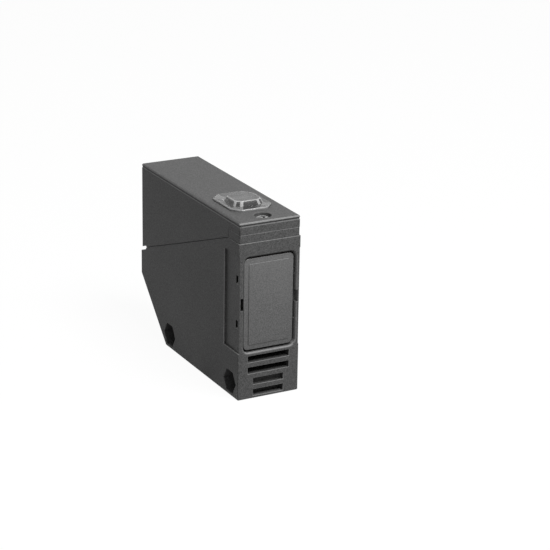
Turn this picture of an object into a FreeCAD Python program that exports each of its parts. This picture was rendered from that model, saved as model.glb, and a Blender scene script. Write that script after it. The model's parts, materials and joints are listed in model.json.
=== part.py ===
import FreeCAD, Part
import math
import os

V = FreeCAD.Vector

# Through-beam sensor in a slim terminal housing, all sizes in millimetres.
# X runs across the width, -Y is the side with the optics, +Z is up, and the
# origin is the middle of the footprint of the whole housing.

# Housing, outside
WIDTH = 24.0
DEPTH = 80.0
HEIGHT = 65.0
WALL = 2.4
SLOPE_RUN = 21.8
SLOPE_RISE = 22.1
UPRIGHT_ROUND = 0.5
FOOT_BEVEL = 0.3

# Parting between the lower body and the hood
HOOD_FRONT = 4.3
HOOD_REAR = 33.3
SEAM_CHAMFER = 0.3
COLLAR_LENGTH = 8.6
COLLAR_HEIGHT = 3.0
COLLAR_STEP = 0.25
COLLAR_GAP = 0.2
REAR_LAND = 7.4
MOUTH_ROUND = 1.5
PRY_DEPTH = 4.0
PRY_HEIGHT = 1.3

# Gasket in the rim of the lower body
GASKET_WIDTH = 1.2
GASKET_HEIGHT = 1.0
GASKET_SLACK = 0.1

# Chambers of the lower body
FLOOR = 2.4
LEDGE = 0.8
OPTICS_INSET = 1.1
FRONT_SKIN = 4.3
BLOCK_LENGTH = 12.0
ENTRY_LAND = 14.0

# Window recess in the front face
WINDOW_SIDE_LAND = 2.3
WINDOW_BOTTOM = 18.1
WINDOW_TOP_LAND = 5.95
WINDOW_GAP = 0.7
WINDOW_ROUND = 1.8
WINDOW_SETBACK = 0.5
WINDOW_PLATE = 1.9
PANE_RISE = 0.25
PANE_MARGIN = 1.9
PANE_BEVEL = 0.3
PANE_CORNER = 0.3
WINDOW_EDGE = 0.3
SEAL_THICKNESS = 0.4
SEAL_WIDTH = 1.4
LIP_CHAMFER = 0.5
BEAM_SIDE_LAND = 2.2
BEAM_END_LAND = 3.8
RELEASE_WIDTH = 0.8
RELEASE_HEIGHT = 4.4
RELEASE_RAISE = 0.7
RELEASE_DEPTH = 2.0

# Ramped recess and window latches in each side
SIDE_RECESS_LENGTH = 11.1
SIDE_RECESS_BELOW = 0.45
SIDE_RECESS_ABOVE = 1.6
SIDE_RECESS_REAR = 0.9
SIDE_RECESS_FRONT = 0.3
LATCH_SETBACK = 1.9
LATCH_WIDTH = 1.0
LATCH_HEIGHT = 2.7
LATCH_RAMP = 1.0
LATCH_FROM_TOP = 5.85
LATCH_FROM_BOTTOM = 11.3
LATCH_GAP = 0.15

# Blind slots below the window, from the top one down
SLOT_PITCH = 4.23
SLOT_HEIGHT = 2.4
SLOT_DROP = 2.05
SLOT_MARGINS = (3.9, 3.9, 6.05, 6.05)
SLOT_DEPTHS = (8.0, 8.0, 1.8, 3.0)

# Cross holes for M5 screws, with a nut pocket at both ends
MOUNT_SETBACK = 6.4
MOUNT_REAR_LAND = 2.8
MOUNT_HEIGHT = 5.2
MOUNT_HOLE = 5.3
NUT_FLATS = 8.05
NUT_DEPTH = 4.2

# Cable entry in the sloped face: M16 pressure sleeve, washer and grommet
ENTRY_FROM_FOOT = 18.0
ENTRY_THREAD = 16.0
THREAD_SLACK = 0.1
SLEEVE_RECESS = 0.3
SLEEVE_LENGTH = 6.5
SLEEVE_BORE = 9.5
SLEEVE_KEYWAY = 2.0
SLEEVE_KEY_DEPTH = 2.4
GROMMET_DIAMETER = 13.8
GROMMET_LENGTH = 5.0
GROMMET_BORE = 7.5
WASHER_THICKNESS = 0.8
WASHER_BORE = 10.0
ENTRY_PASSAGE = 10.0
ENTRY_SLACK = 0.1

# Hood
HOOD_BEVEL = 0.4
GROOVE_TOP = 0.7
GROOVE_HEIGHT = 0.5
GROOVE_DEPTH = 0.35
RIM_HEIGHT = 3.3
HOOK_WIDTH = 12.0
HOOK_THICKNESS = 1.2
HOOK_REACH = 3.0
HOOK_NIB = 0.5
HOOK_GAP = 0.2

# Hood screw, M3, with its sealing ring and threaded insert
HOOD_SCREW_SETBACK = 6.0
SCREW_HEAD = 5.6
SCREW_HEAD_HEIGHT = 2.0
SCREW_HEAD_RECESS = 0.6
SCREW_SHANK = 3.0
SCREW_LENGTH = 9.0
SCREW_WELL = 6.2
SCREW_CLEARANCE = 0.2
RING_SECTION = 0.8
RING_DIAMETER = 4.4
SCREW_HOLE_SPARE = 0.5
INSERT_DIAMETER = 4.6
INSERT_LENGTH = 6.0
INSERT_SLACK = 0.05

# Clear indicator window in the top of the hood
LAMP_WIDTH = 16.0
LAMP_LENGTH = 20.5
LAMP_SETBACK = 21.5
LAMP_CORNER = 3.4
LAMP_SEAT = 0.6
LAMP_FLANGE = 1.4
LAMP_SLACK = 0.1
LAMP_BEVEL = 0.3
DOME_WIDTH = 10.0
DOME_LENGTH = 9.4
DOME_SETBACK = 20.3
DOME_HEIGHT = 1.7
DOME_CORNER = 1.2
DOME_DRAFT = 0.8
DOME_WALL = 1.1
LAMP_OPENING_WIDTH = 11.0
LAMP_OPENING_LENGTH = 15.5

# Deck between the electronics and the wiring space
DECK_DROP = 2.0
DECK_THICKNESS = 1.6
WIRING_LENGTH = 20.2
DECK_GAP = 0.15
DECK_SCREW_FROM_END = 5.0
DECK_SCREW_SHANK = 2.2
DECK_SCREW_HEAD = 4.0
DECK_SCREW_LENGTH = 6.0
DECK_SCREW_HEAD_HEIGHT = 1.5
PILLAR_DIAMETER = 4.4
PILLAR_LENGTH = 8.0
PARTITION_THICKNESS = 1.6

# Terminals on the deck
POLES = 4
TERMINAL_GAP = 0.4
TERMINAL_SETBACK = 22.4
TERMINAL_LENGTH = 11.0
TERMINAL_HEIGHT = 10.0
TERMINAL_WALL = 0.8
TERMINAL_BEVEL = 1.5
CHAMBER_DEPTH = 7.5
CHAMBER_FLOOR = 1.6
CHAMBER_HEIGHT = 4.6
CLAMP_GAP = 0.15
CLAMP_WALL = 0.7
CLAMP_LENGTH = 5.0
TERMINAL_SCREW_RIM = 0.5
TERMINAL_SCREW_HEAD_HEIGHT = 1.3
TERMINAL_SCREW_REACH = 1.0
CONTACT_GAP = 0.25
CONTACT_THICKNESS = 0.5
CONTACT_LENGTH = 6.0

# Boards
BOARD_THICKNESS = 1.6
TERMINAL_BOARD_DROP = 0.4
TERMINAL_BOARD_GAP = 0.3
TERMINAL_BOARD_START = 6.4
TERMINAL_BOARD_SETBACK = 7.9
POST_WIDTH = 3.0
MAIN_BOARD_X = -4.0
MAIN_BOARD_DROP = 0.8
MAIN_BOARD_BOTTOM = 4.0
MAIN_BOARD_UNDER_OPTICS = 1.7
MAIN_BOARD_CLEAR = 2.25
MAIN_BOARD_GAP = 0.8
RAIL_HEIGHT = 2.8
RAIL_WALL = 1.0
RAIL_GAP = 0.1

# Optics
CARRIER_RIM = 0.8
LENS_EDGE = 1.5
LENS_SAG = 2.6
LENS_RIM = 0.8
RETAINER_LENGTH = 1.8
RETAINER_WALL = 0.7
LENS_GAP = 0.1
CARRIER_GAP = 0.2
CARRIER_INSET = 1.8
CARRIER_FLANGE = 5.0
CARRIER_SHOULDER = 1.2
CARRIER_LENGTH = 22.0
CARRIER_WALL = 1.2
FUNNEL_SLACK = 0.3
SOCKET_WIDTH = 12.0
SOCKET_HEIGHT = 14.0
SOCKET_THICKNESS = 2.6
EMITTER_DIAMETER = 5.0
EMITTER_RIM = 5.8
EMITTER_RIM_HEIGHT = 1.0
EMITTER_LENGTH = 8.6
EMITTER_TIP = 1.2
EMITTER_BOARD_GAP = 1.3
EMITTER_BOARD_HEIGHT = 16.0
LEAD = 0.5
LEAD_PITCH = 2.54
LEAD_TAIL = 1.5

# Power lamp and its light pipe
LAMP_AT = 9.5
LAMP_LED_WIDTH = 2.6
LAMP_LED_HEIGHT = 3.4
PIPE_WIDTH = 3.8
PIPE_FOOT = 6.0
PIPE_FOOT_HEIGHT = 1.0
PIPE_TOP_DROP = 0.7
PIPE_GAP = 0.2

# Parts on the main board, set back from the front block or from the board's rear edge
CHOKE_SETBACK = 8.0
CHOKE_RAISE = 6.6
CHOKE_SIZE = (11.0, 10.5, 9.0)
CHOKE_CORE = 4.6
CHOKE_LIMB = 1.6
CHOKE_MIDDLE_LIMB = 2.4
CHOKE_GAP = 0.1
CAPACITOR_SETBACK = 18.2
CAPACITOR_RAISE = 7.0
CAPACITOR_DIAMETER = 8.0
CAPACITOR_LENGTH = 9.5
VARISTOR_DIAMETER = 8.0
VARISTOR_THICKNESS = 3.4
VARISTOR_STAND_OFF = 0.6
VARISTOR_LEAD = 0.6
VARISTOR_LEAD_PITCH = 5.0
RECTIFIER_SIZE = (6.0, 6.0, 2.6)
REGULATOR_SIZE = (6.0, 6.0, 2.3)
REGULATOR_RAISE = 0.8
DRIVER_SIZE = (5.0, 4.0, 1.6)
DRIVER_DROP = 5.0
PART_GAP = 0.4
CHIP_LIFT = 0.1
CHIP_PIN_REACH = 0.8
CHIP_PIN_WIDTH = 0.4
CHIP_PIN_HEIGHT = 0.6

# Square pins: terminal board to main board, and emitter board to main board
PIN = 0.6
LINK_PINS = 3
LINK_WIDTH = 2.5
LINK_INSET = 0.6
EMITTER_LINKS = 3
EMITTER_LINK_DROP = 6.0
EMITTER_LINK_X = 0.9
EMITTER_LINK_REACH = 1.5

# Places worked out from the sizes
Y_FRONT = -DEPTH / 2
Y_REAR = DEPTH / 2
Y_COLLAR = Y_FRONT + COLLAR_LENGTH
Y_BLOCK = Y_FRONT + BLOCK_LENGTH
Y_SLOPE = Y_REAR - SLOPE_RUN
SLOPE_RAD = math.atan2(SLOPE_RISE, SLOPE_RUN)
KNEE_HEIGHT = HEIGHT - HOOD_FRONT - COLLAR_HEIGHT
SEAM_REAR_HEIGHT = HEIGHT - HOOD_REAR
SEAM_RAD = math.atan2(KNEE_HEIGHT - SEAM_REAR_HEIGHT, Y_REAR - Y_COLLAR)
SEAM_LENGTH = math.hypot(KNEE_HEIGHT - SEAM_REAR_HEIGHT, Y_REAR - Y_COLLAR)
ROOM = WIDTH / 2 - WALL
LOWER_ROOM = ROOM - LEDGE
MOUTH_START = WALL
MOUTH_END = SEAM_LENGTH - REAR_LAND

WINDOW_WIDTH = WIDTH - 2 * WINDOW_SIDE_LAND
WINDOW_TOP = KNEE_HEIGHT - WINDOW_TOP_LAND
WINDOW_HEIGHT = WINDOW_TOP - WINDOW_BOTTOM
WINDOW_MIDDLE = (WINDOW_TOP + WINDOW_BOTTOM) / 2
RECESS_FLOOR_Y = Y_FRONT + WINDOW_SETBACK + PANE_RISE + WINDOW_PLATE + SEAL_THICKNESS
SKIN_Y = Y_FRONT + FRONT_SKIN
LATCH_TOPS = (WINDOW_TOP - LATCH_FROM_TOP, WINDOW_BOTTOM + LATCH_FROM_BOTTOM)

CARRIER_WIDTH = 2 * (LOWER_ROOM - CARRIER_GAP)
CARRIER_HEIGHT = WINDOW_HEIGHT - 2 * CARRIER_INSET
CARRIER_REAR = SKIN_Y + CARRIER_LENGTH
LENS_DIAMETER = CARRIER_WIDTH - 2 * CARRIER_RIM

DECK_UNDER = DECK_DROP + DECK_THICKNESS
DECK_END = MOUTH_END - WIRING_LENGTH
DECK_SCREW_X = LOWER_ROOM - PILLAR_DIAMETER / 2
PARTITION_REAR = Y_COLLAR + DECK_END * math.cos(SEAM_RAD) - DECK_UNDER * math.sin(SEAM_RAD)
BOARD_TOP = DECK_UNDER + TERMINAL_BOARD_DROP
BOARD_UNDER = BOARD_TOP + BOARD_THICKNESS
TERMINAL_BOARD_END = DECK_END - TERMINAL_BOARD_SETBACK
TERMINAL_BOARD_WIDTH = 2 * (LOWER_ROOM - TERMINAL_BOARD_GAP)
TERMINAL_START = DECK_END - TERMINAL_SETBACK
POLE_PITCH = 2 * (ROOM - TERMINAL_GAP) / POLES
CLAMP_WIDTH = POLE_PITCH - TERMINAL_WALL - 2 * CLAMP_GAP
CLAMP_ROOM = CLAMP_WIDTH - 2 * CLAMP_WALL
CONTACT_WIDTH = CLAMP_ROOM - 2 * CONTACT_GAP
TERMINAL_SCREW = CLAMP_ROOM - 2 * INSERT_SLACK
TERMINAL_SCREW_HEAD = TERMINAL_SCREW + 2 * TERMINAL_SCREW_RIM

MAIN_TOP = BOARD_UNDER + MAIN_BOARD_DROP
MAIN_BOARD_STEP = WINDOW_BOTTOM + OPTICS_INSET - MAIN_BOARD_UNDER_OPTICS
MAIN_BOARD_REAR = PARTITION_REAR - PARTITION_THICKNESS - MAIN_BOARD_CLEAR
MAIN_BOARD_FRONT = CARRIER_REAR + BOARD_THICKNESS + MAIN_BOARD_GAP
BEYOND = 2.0


def box(x0, x1, y0, y1, z0, z1):
    return Part.makeBox(x1 - x0, y1 - y0, z1 - z0, V(x0, y0, z0))


def rod(diameter, length, start, direction):
    return Part.makeCylinder(diameter / 2, length, start, direction)


def side_prism(points, x0, x1):
    """Solid with a side-view outline of (y, z) points, from x0 to x1."""
    corners = [V(x0, y, z) for y, z in points]
    face = Part.Face(Part.makePolygon(corners + corners[:1]))
    return face.extrude(V(x1 - x0, 0, 0))


def rounded_wire(width, length, radius, centre, level):
    """Closed wire of a rectangle with round corners, flat at the level."""
    cx, cy = centre
    hx, hy = width / 2, length / 2
    if radius <= 0:
        corners = [V(cx - hx, cy - hy, level), V(cx + hx, cy - hy, level)]
        corners += [V(cx + hx, cy + hy, level), V(cx - hx, cy + hy, level)]
        return Part.makePolygon(corners + corners[:1])
    slant = radius * (1 - math.sqrt(0.5))
    edges = []
    turns = ((1, -1), (1, 1), (-1, 1), (-1, -1))
    starts, middles, ends = [], [], []
    for sx, sy in turns:
        along = V(cx + sx * (hx - radius), cy + sy * hy, level)
        across = V(cx + sx * hx, cy + sy * (hy - radius), level)
        leads_in = sx * sy < 0
        starts.append(along if leads_in else across)
        ends.append(across if leads_in else along)
        middles.append(V(cx + sx * (hx - slant), cy + sy * (hy - slant), level))
    for k in range(4):
        edges.append(Part.Arc(starts[k], middles[k], ends[k]).toShape())
        edges.append(Part.LineSegment(ends[k], starts[(k + 1) % 4]).toShape())
    return Part.Wire(edges)


def rounded_block(width, length, radius, centre, z0, z1):
    wire = rounded_wire(width, length, radius, centre, z0)
    return Part.Face(wire).extrude(V(0, 0, z1 - z0))


def tapered_block(width, length, radius, centre, z0, z1, grow):
    """Rounded block whose outline grows by the given margin towards z1."""
    low = rounded_wire(width, length, radius, centre, z0)
    high = rounded_wire(width + 2 * grow, length + 2 * grow, radius + grow, centre, z1)
    return Part.makeLoft([low, high], True)


def facing_front(shape):
    """Turn a shape drawn in plan, so that its Y points up and its Z to the front."""
    turned = shape.copy()
    turned.rotate(V(0, 0, 0), V(1, 0, 0), 90)
    return turned


def on_seam(shape):
    """Lay a shape drawn in plan on the parting plane.

    Its Y is then the distance down the slope from the knee of the parting,
    and its Z the height over the parting plane.
    """
    laid = shape.copy()
    laid.rotate(V(0, 0, 0), V(1, 0, 0), -math.degrees(SEAM_RAD))
    laid.translate(V(0, Y_COLLAR, KNEE_HEIGHT))
    return laid


def on_slope(shape):
    """Set a shape drawn about the Z axis in the cable entry.

    Its Z then points straight out of the sloped face, and zero is the face.
    """
    set_in = shape.copy()
    set_in.rotate(V(0, 0, 0), V(1, 0, 0), math.degrees(SLOPE_RAD) - 180)
    set_in.translate(V(0, Y_SLOPE + ENTRY_FROM_FOOT * math.cos(SLOPE_RAD),
                       ENTRY_FROM_FOOT * math.sin(SLOPE_RAD)))
    return set_in


def seam_height(y, drop=0.0):
    """Height at y of the line that runs below the parting by the drop."""
    return SEAM_REAR_HEIGHT + (Y_REAR - y) * math.tan(SEAM_RAD) - drop / math.cos(SEAM_RAD)


def entry_floor(y):
    """Height at y of the inside face of the block that holds the cable entry."""
    return (y - Y_SLOPE) * math.tan(SLOPE_RAD) + ENTRY_LAND / math.cos(SLOPE_RAD)


def entry_floor_place(z):
    """Place along the housing at which the block of the cable entry is that high."""
    return Y_SLOPE + (z - entry_floor(Y_SLOPE)) / math.tan(SLOPE_RAD)


def round_edges(shape, radius, wanted):
    """Round the straight edges that the test picks by their two ends."""
    return shape.makeFillet(radius, picked_edges(shape, wanted))


def chamfer_edges(shape, size, wanted):
    return shape.makeChamfer(size, picked_edges(shape, wanted))


def picked_edges(shape, wanted):
    """Edges with two ends whose places pass the test."""
    open_edges = [edge for edge in shape.Edges if len(edge.Vertexes) == 2]
    return [edge for edge in open_edges
            if wanted(edge.Vertexes[0].Point, edge.Vertexes[1].Point)]


def same(a, b):
    return abs(a - b) < 1e-4


def is_upright(a, b):
    return same(a.x, b.x) and same(a.y, b.y)


def both_sides(shape):
    return [shape, shape.mirror(V(0, 0, 0), V(1, 0, 0))]


def nut_prism(y, z):
    """Hexagonal pocket tool through the right side, with flats on top and below."""
    reach = NUT_FLATS / math.sqrt(3)
    x0 = WIDTH / 2 - NUT_DEPTH
    points = []
    for k in range(6):
        turn = math.radians(60 * k)
        points.append((y + reach * math.cos(turn), z + reach * math.sin(turn)))
    return side_prism(points, x0, WIDTH / 2 + BEYOND)


def body_block():
    """Outside of the lower body with its rounded edges and the raised collar."""
    outline = [(Y_FRONT, 0), (Y_SLOPE, 0), (Y_REAR, SLOPE_RISE),
               (Y_REAR, SEAM_REAR_HEIGHT), (Y_COLLAR, KNEE_HEIGHT),
               (Y_FRONT, KNEE_HEIGHT)]
    block = side_prism(outline, -WIDTH / 2, WIDTH / 2)
    block = round_edges(block, UPRIGHT_ROUND,
                        lambda a, b: is_upright(a, b) and same(a.y, Y_FRONT))
    block = chamfer_edges(block, FOOT_BEVEL,
                          lambda a, b: same(a.x, b.x) and same(abs(a.x), WIDTH / 2)
                          and same(a.z, 0) and same(b.z, 0))
    block = chamfer_edges(block, SEAM_CHAMFER,
                          lambda a, b: same(abs(a.x), WIDTH / 2) and same(a.x, b.x)
                          and abs(a.z - seam_height(a.y)) < 1e-3
                          and abs(b.z - seam_height(b.y)) < 1e-3
                          and abs(a.y - b.y) > COLLAR_LENGTH)
    step = UPRIGHT_ROUND + COLLAR_STEP
    collar = rounded_block(WIDTH - 2 * COLLAR_STEP, COLLAR_LENGTH * 2, step,
                           (0, Y_COLLAR + COLLAR_STEP), KNEE_HEIGHT - BEYOND,
                           KNEE_HEIGHT + COLLAR_HEIGHT)
    behind = box(-WIDTH, WIDTH, Y_COLLAR, Y_COLLAR + 2 * COLLAR_LENGTH,
                 KNEE_HEIGHT - 2 * BEYOND, KNEE_HEIGHT + 2 * COLLAR_HEIGHT)
    return block.fuse(collar.cut(behind))


def body_chambers():
    """Hollows of the lower body: mouth, electronics, optics and wiring space."""
    middle = (MOUTH_START + MOUTH_END) / 2
    mouth = on_seam(rounded_block(2 * ROOM, MOUTH_END - MOUTH_START, MOUTH_ROUND,
                                  (0, middle), -DECK_UNDER, BEYOND))
    y_end = Y_COLLAR + (MOUTH_END - LEDGE) * math.cos(SEAM_RAD) - DECK_UNDER * math.sin(SEAM_RAD)
    over = DECK_DROP + DECK_THICKNESS / 2
    slopes = math.tan(SLOPE_RAD) + math.tan(SEAM_RAD)
    y_tip = (seam_height(0, over) - entry_floor(0)) / slopes
    lower = side_prism([(Y_BLOCK, FLOOR), (entry_floor_place(FLOOR), FLOOR),
                        (y_tip, entry_floor(y_tip)), (Y_BLOCK, seam_height(Y_BLOCK, over))],
                       -LOWER_ROOM, LOWER_ROOM)
    lower = lower.common(box(-WIDTH, WIDTH, Y_FRONT, y_end, 0, HEIGHT))
    optics = box(-LOWER_ROOM, LOWER_ROOM, SKIN_Y, Y_BLOCK + BEYOND, WINDOW_BOTTOM + OPTICS_INSET,
                 WINDOW_TOP - OPTICS_INSET)
    return mouth.fuse(lower).fuse(optics)


def window_recess():
    """Recess for the front window, its chamfered lip, beam opening and release notches."""
    width = WINDOW_WIDTH + 2 * WINDOW_GAP
    height = WINDOW_HEIGHT + 2 * WINDOW_GAP
    radius = WINDOW_ROUND + WINDOW_GAP
    centre = (0, WINDOW_MIDDLE)
    recess = facing_front(rounded_block(width, height, radius, centre,
                                        -RECESS_FLOOR_Y, -Y_FRONT + BEYOND))
    lip = facing_front(tapered_block(width, height, radius, centre,
                                     -Y_FRONT - LIP_CHAMFER, -Y_FRONT, LIP_CHAMFER))
    beam = facing_front(rounded_block(WINDOW_WIDTH - 2 * BEAM_SIDE_LAND,
                                      WINDOW_HEIGHT - 2 * BEAM_END_LAND, 0, centre,
                                      -SKIN_Y - BEYOND, -RECESS_FLOOR_Y + BEYOND))
    low = WINDOW_MIDDLE + RELEASE_RAISE - RELEASE_HEIGHT / 2
    notch = box(-width / 2 - RELEASE_WIDTH, width / 2 + RELEASE_WIDTH, Y_FRONT - BEYOND,
                Y_FRONT + RELEASE_DEPTH, low, low + RELEASE_HEIGHT)
    return recess.fuse(lip).fuse(beam).fuse(notch)


def side_recesses():
    """Ramped recess at each side and the latch openings of the window in it."""
    half = WIDTH / 2
    y0, y1 = Y_FRONT - BEYOND, Y_FRONT + SIDE_RECESS_LENGTH
    low = WINDOW_BOTTOM - SIDE_RECESS_BELOW
    points = [V(half + BEYOND, y0, low), V(half - SIDE_RECESS_FRONT, y0, low),
              V(half - SIDE_RECESS_REAR, y1, low), V(half + BEYOND, y1, low)]
    ramp = Part.Face(Part.makePolygon(points + points[:1]))
    tools = both_sides(ramp.extrude(V(0, 0, WINDOW_TOP + SIDE_RECESS_ABOVE - low)))
    x0 = WINDOW_WIDTH / 2
    for top in LATCH_TOPS:
        y = Y_FRONT + LATCH_SETBACK
        bottom = top - LATCH_HEIGHT
        opening = box(x0, half + BEYOND, y, y + LATCH_WIDTH, bottom, top)
        slope = [V(half - SIDE_RECESS_REAR, y, bottom), V(half + LATCH_RAMP, y, bottom),
                 V(half + LATCH_RAMP, y, bottom - LATCH_RAMP), V(half, y, bottom - LATCH_RAMP)]
        wedge = Part.Face(Part.makePolygon(slope + slope[:1])).extrude(V(0, LATCH_WIDTH, 0))
        tools += both_sides(opening) + both_sides(wedge)
    return tools


def front_slots():
    """Blind slots below the window."""
    tools = []
    for k, (margin, depth) in enumerate(zip(SLOT_MARGINS, SLOT_DEPTHS)):
        half = WIDTH / 2 - margin
        top = WINDOW_BOTTOM - SLOT_DROP - k * SLOT_PITCH
        tools.append(box(-half, half, Y_FRONT - BEYOND, Y_FRONT + depth, top - SLOT_HEIGHT, top))
    return tools


def mounting_holes():
    """Two cross holes, each with a nut pocket at both ends."""
    tools = []
    for y in (Y_FRONT + MOUNT_SETBACK, Y_SLOPE - MOUNT_REAR_LAND):
        tools.append(rod(MOUNT_HOLE, WIDTH + 2 * BEYOND,
                         V(-WIDTH / 2 - BEYOND, y, MOUNT_HEIGHT), V(1, 0, 0)))
        tools += both_sides(nut_prism(y, MOUNT_HEIGHT))
    return tools


def entry_bores():
    """Stepped bore of the cable entry: thread, grommet seat and passage."""
    sleeve_end = SLEEVE_RECESS + SLEEVE_LENGTH
    seat_end = sleeve_end + WASHER_THICKNESS + GROMMET_LENGTH
    thread = rod(ENTRY_THREAD + THREAD_SLACK, sleeve_end + BEYOND, V(0, 0, -sleeve_end), V(0, 0, 1))
    seat = rod(GROMMET_DIAMETER + ENTRY_SLACK, seat_end, V(0, 0, -seat_end), V(0, 0, 1))
    passage = rod(ENTRY_PASSAGE, 2 * ENTRY_LAND, V(0, 0, -ENTRY_LAND - BEYOND), V(0, 0, 1))
    return [on_slope(tool) for tool in (thread, seat, passage)]


def gasket_ring(slack):
    """Ring on the parting plane; a slack of zero gives the rebate that it lies in."""
    middle = (MOUTH_START + MOUTH_END) / 2
    length = MOUTH_END - MOUTH_START
    margin = 2 * (GASKET_WIDTH - slack)
    outer = rounded_block(2 * ROOM + margin, length + margin, MOUTH_ROUND + GASKET_WIDTH - slack,
                          (0, middle), -GASKET_HEIGHT, 0)
    inner = rounded_block(2 * ROOM, length, MOUTH_ROUND, (0, middle), -2 * GASKET_HEIGHT, BEYOND)
    return on_seam(outer.cut(inner))


def pry_notch():
    """Slot across the rear end of the parting, where a blade lifts the hood."""
    notch = box(-WIDTH, WIDTH, SEAM_LENGTH - PRY_DEPTH, SEAM_LENGTH + 2 * BEYOND,
                -PRY_HEIGHT / 2, PRY_HEIGHT / 2)
    return on_seam(notch)


def deck_screw_place():
    return DECK_END - DECK_SCREW_FROM_END


def body_fittings():
    """Pillars for the deck screws and the rail for the main board."""
    s = deck_screw_place()
    low = -DECK_UNDER - PILLAR_LENGTH
    pillar = rod(PILLAR_DIAMETER, PILLAR_LENGTH, V(DECK_SCREW_X, s, low), V(0, 0, 1))
    web = box(DECK_SCREW_X, LOWER_ROOM + LEDGE, s - PILLAR_DIAMETER / 2, s + PILLAR_DIAMETER / 2,
              low, -DECK_UNDER)
    pillars = both_sides(on_seam(pillar.fuse(web)))
    x0 = MAIN_BOARD_X - RAIL_GAP - RAIL_WALL
    x1 = MAIN_BOARD_X + BOARD_THICKNESS + RAIL_GAP + RAIL_WALL
    rail = box(x0, x1, Y_BLOCK, Y_BLOCK + BLOCK_LENGTH * 2, FLOOR, FLOOR + RAIL_HEIGHT)
    slot = box(x0 + RAIL_WALL, x1 - RAIL_WALL, Y_BLOCK, Y_BLOCK + BLOCK_LENGTH * 2,
               MAIN_BOARD_BOTTOM, FLOOR + RAIL_HEIGHT + BEYOND)
    return pillars + [rail.cut(slot)]


def screw_seat_height():
    """Height of the face that the head of the hood screw bears on."""
    return HEIGHT - SCREW_HEAD_RECESS - SCREW_HEAD_HEIGHT


def make_base_housing():
    body = body_block()
    body = body.cut(body_chambers())
    body = body.fuse(body_fittings())
    cuts = [window_recess(), gasket_ring(0), pry_notch()]
    cuts += side_recesses() + front_slots() + mounting_holes() + entry_bores()
    body = body.cut(cuts)
    y = Y_FRONT + HOOD_SCREW_SETBACK
    top = KNEE_HEIGHT + COLLAR_HEIGHT
    hole_end = screw_seat_height() - SCREW_LENGTH - SCREW_HOLE_SPARE
    screw_cuts = [rod(INSERT_DIAMETER, INSERT_LENGTH + BEYOND, V(0, y, top - INSERT_LENGTH), V(0, 0, 1)),
                  rod(SCREW_SHANK + SCREW_CLEARANCE, top - hole_end, V(0, y, hole_end), V(0, 0, 1))]
    for x in (-DECK_SCREW_X, DECK_SCREW_X):
        start = V(x, deck_screw_place(), -DECK_DROP - DECK_SCREW_LENGTH - SCREW_HOLE_SPARE)
        pilot = rod(DECK_SCREW_SHANK + 2 * INSERT_SLACK, DECK_SCREW_LENGTH, start, V(0, 0, 1))
        screw_cuts.append(on_seam(pilot))
    s = MOUTH_END
    catch = box(-HOOK_WIDTH / 2 - HOOK_GAP, HOOK_WIDTH / 2 + HOOK_GAP, s - BEYOND,
                s + HOOK_NIB + HOOK_GAP / 2, -HOOK_REACH - HOOK_GAP,
                -HOOK_REACH + 2 * HOOK_NIB + HOOK_GAP)
    return body.cut(screw_cuts + [on_seam(catch)])


def hood_block():
    """Outside of the hood with its rounded edges and the line under its top edge."""
    low = KNEE_HEIGHT + COLLAR_HEIGHT
    y_step = Y_COLLAR + COLLAR_GAP
    outline = [(Y_FRONT, low), (y_step, low), (y_step, seam_height(y_step)),
               (Y_REAR, SEAM_REAR_HEIGHT), (Y_REAR, HEIGHT), (Y_FRONT, HEIGHT)]
    block = side_prism(outline, -WIDTH / 2, WIDTH / 2)
    block = round_edges(block, UPRIGHT_ROUND,
                        lambda a, b: is_upright(a, b) and not same(a.y, y_step))
    block = block.makeChamfer(HOOD_BEVEL, [edge for edge in block.Edges
                                           if same(edge.BoundBox.ZMin, HEIGHT)])
    block = chamfer_edges(block, SEAM_CHAMFER,
                          lambda a, b: same(abs(a.x), WIDTH / 2) and same(a.x, b.x)
                          and abs(a.z - seam_height(a.y)) < 1e-3
                          and abs(b.z - seam_height(b.y)) < 1e-3
                          and abs(a.y - b.y) > COLLAR_LENGTH)
    return block.cut(edge_line())


def edge_line():
    """Groove round the hood below its top edge, with a bevelled lower lip."""
    top = HEIGHT - GROOVE_TOP
    bottom = top - GROOVE_HEIGHT
    core = (WIDTH - 2 * GROOVE_DEPTH, DEPTH - 2 * GROOVE_DEPTH)
    around = box(-WIDTH, WIDTH, -DEPTH, DEPTH, bottom, top)
    groove = around.cut(rounded_block(core[0], core[1], UPRIGHT_ROUND, (0, 0),
                                      bottom - BEYOND, top + BEYOND))
    lip = box(-WIDTH, WIDTH, -DEPTH, DEPTH, bottom - GROOVE_DEPTH, bottom)
    skirt = tapered_block(core[0], core[1], UPRIGHT_ROUND, (0, 0), bottom,
                          bottom - GROOVE_DEPTH, GROOVE_DEPTH)
    return groove.fuse(lip.cut(skirt))


def octagon(width, length, corner, centre, z0, z1):
    """Flat plate with its four corners cut off."""
    cx, cy = centre
    hx, hy = width / 2, length / 2
    points = []
    for sx, sy, along_first in ((1, -1, True), (1, 1, False), (-1, 1, True), (-1, -1, False)):
        along = V(cx + sx * (hx - corner), cy + sy * hy, z0)
        across = V(cx + sx * hx, cy + sy * (hy - corner), z0)
        points += [along, across] if along_first else [across, along]
    face = Part.Face(Part.makePolygon(points + points[:1]))
    return face.extrude(V(0, 0, z1 - z0))


def lamp_centre():
    return (0, Y_FRONT + LAMP_SETBACK)


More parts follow.
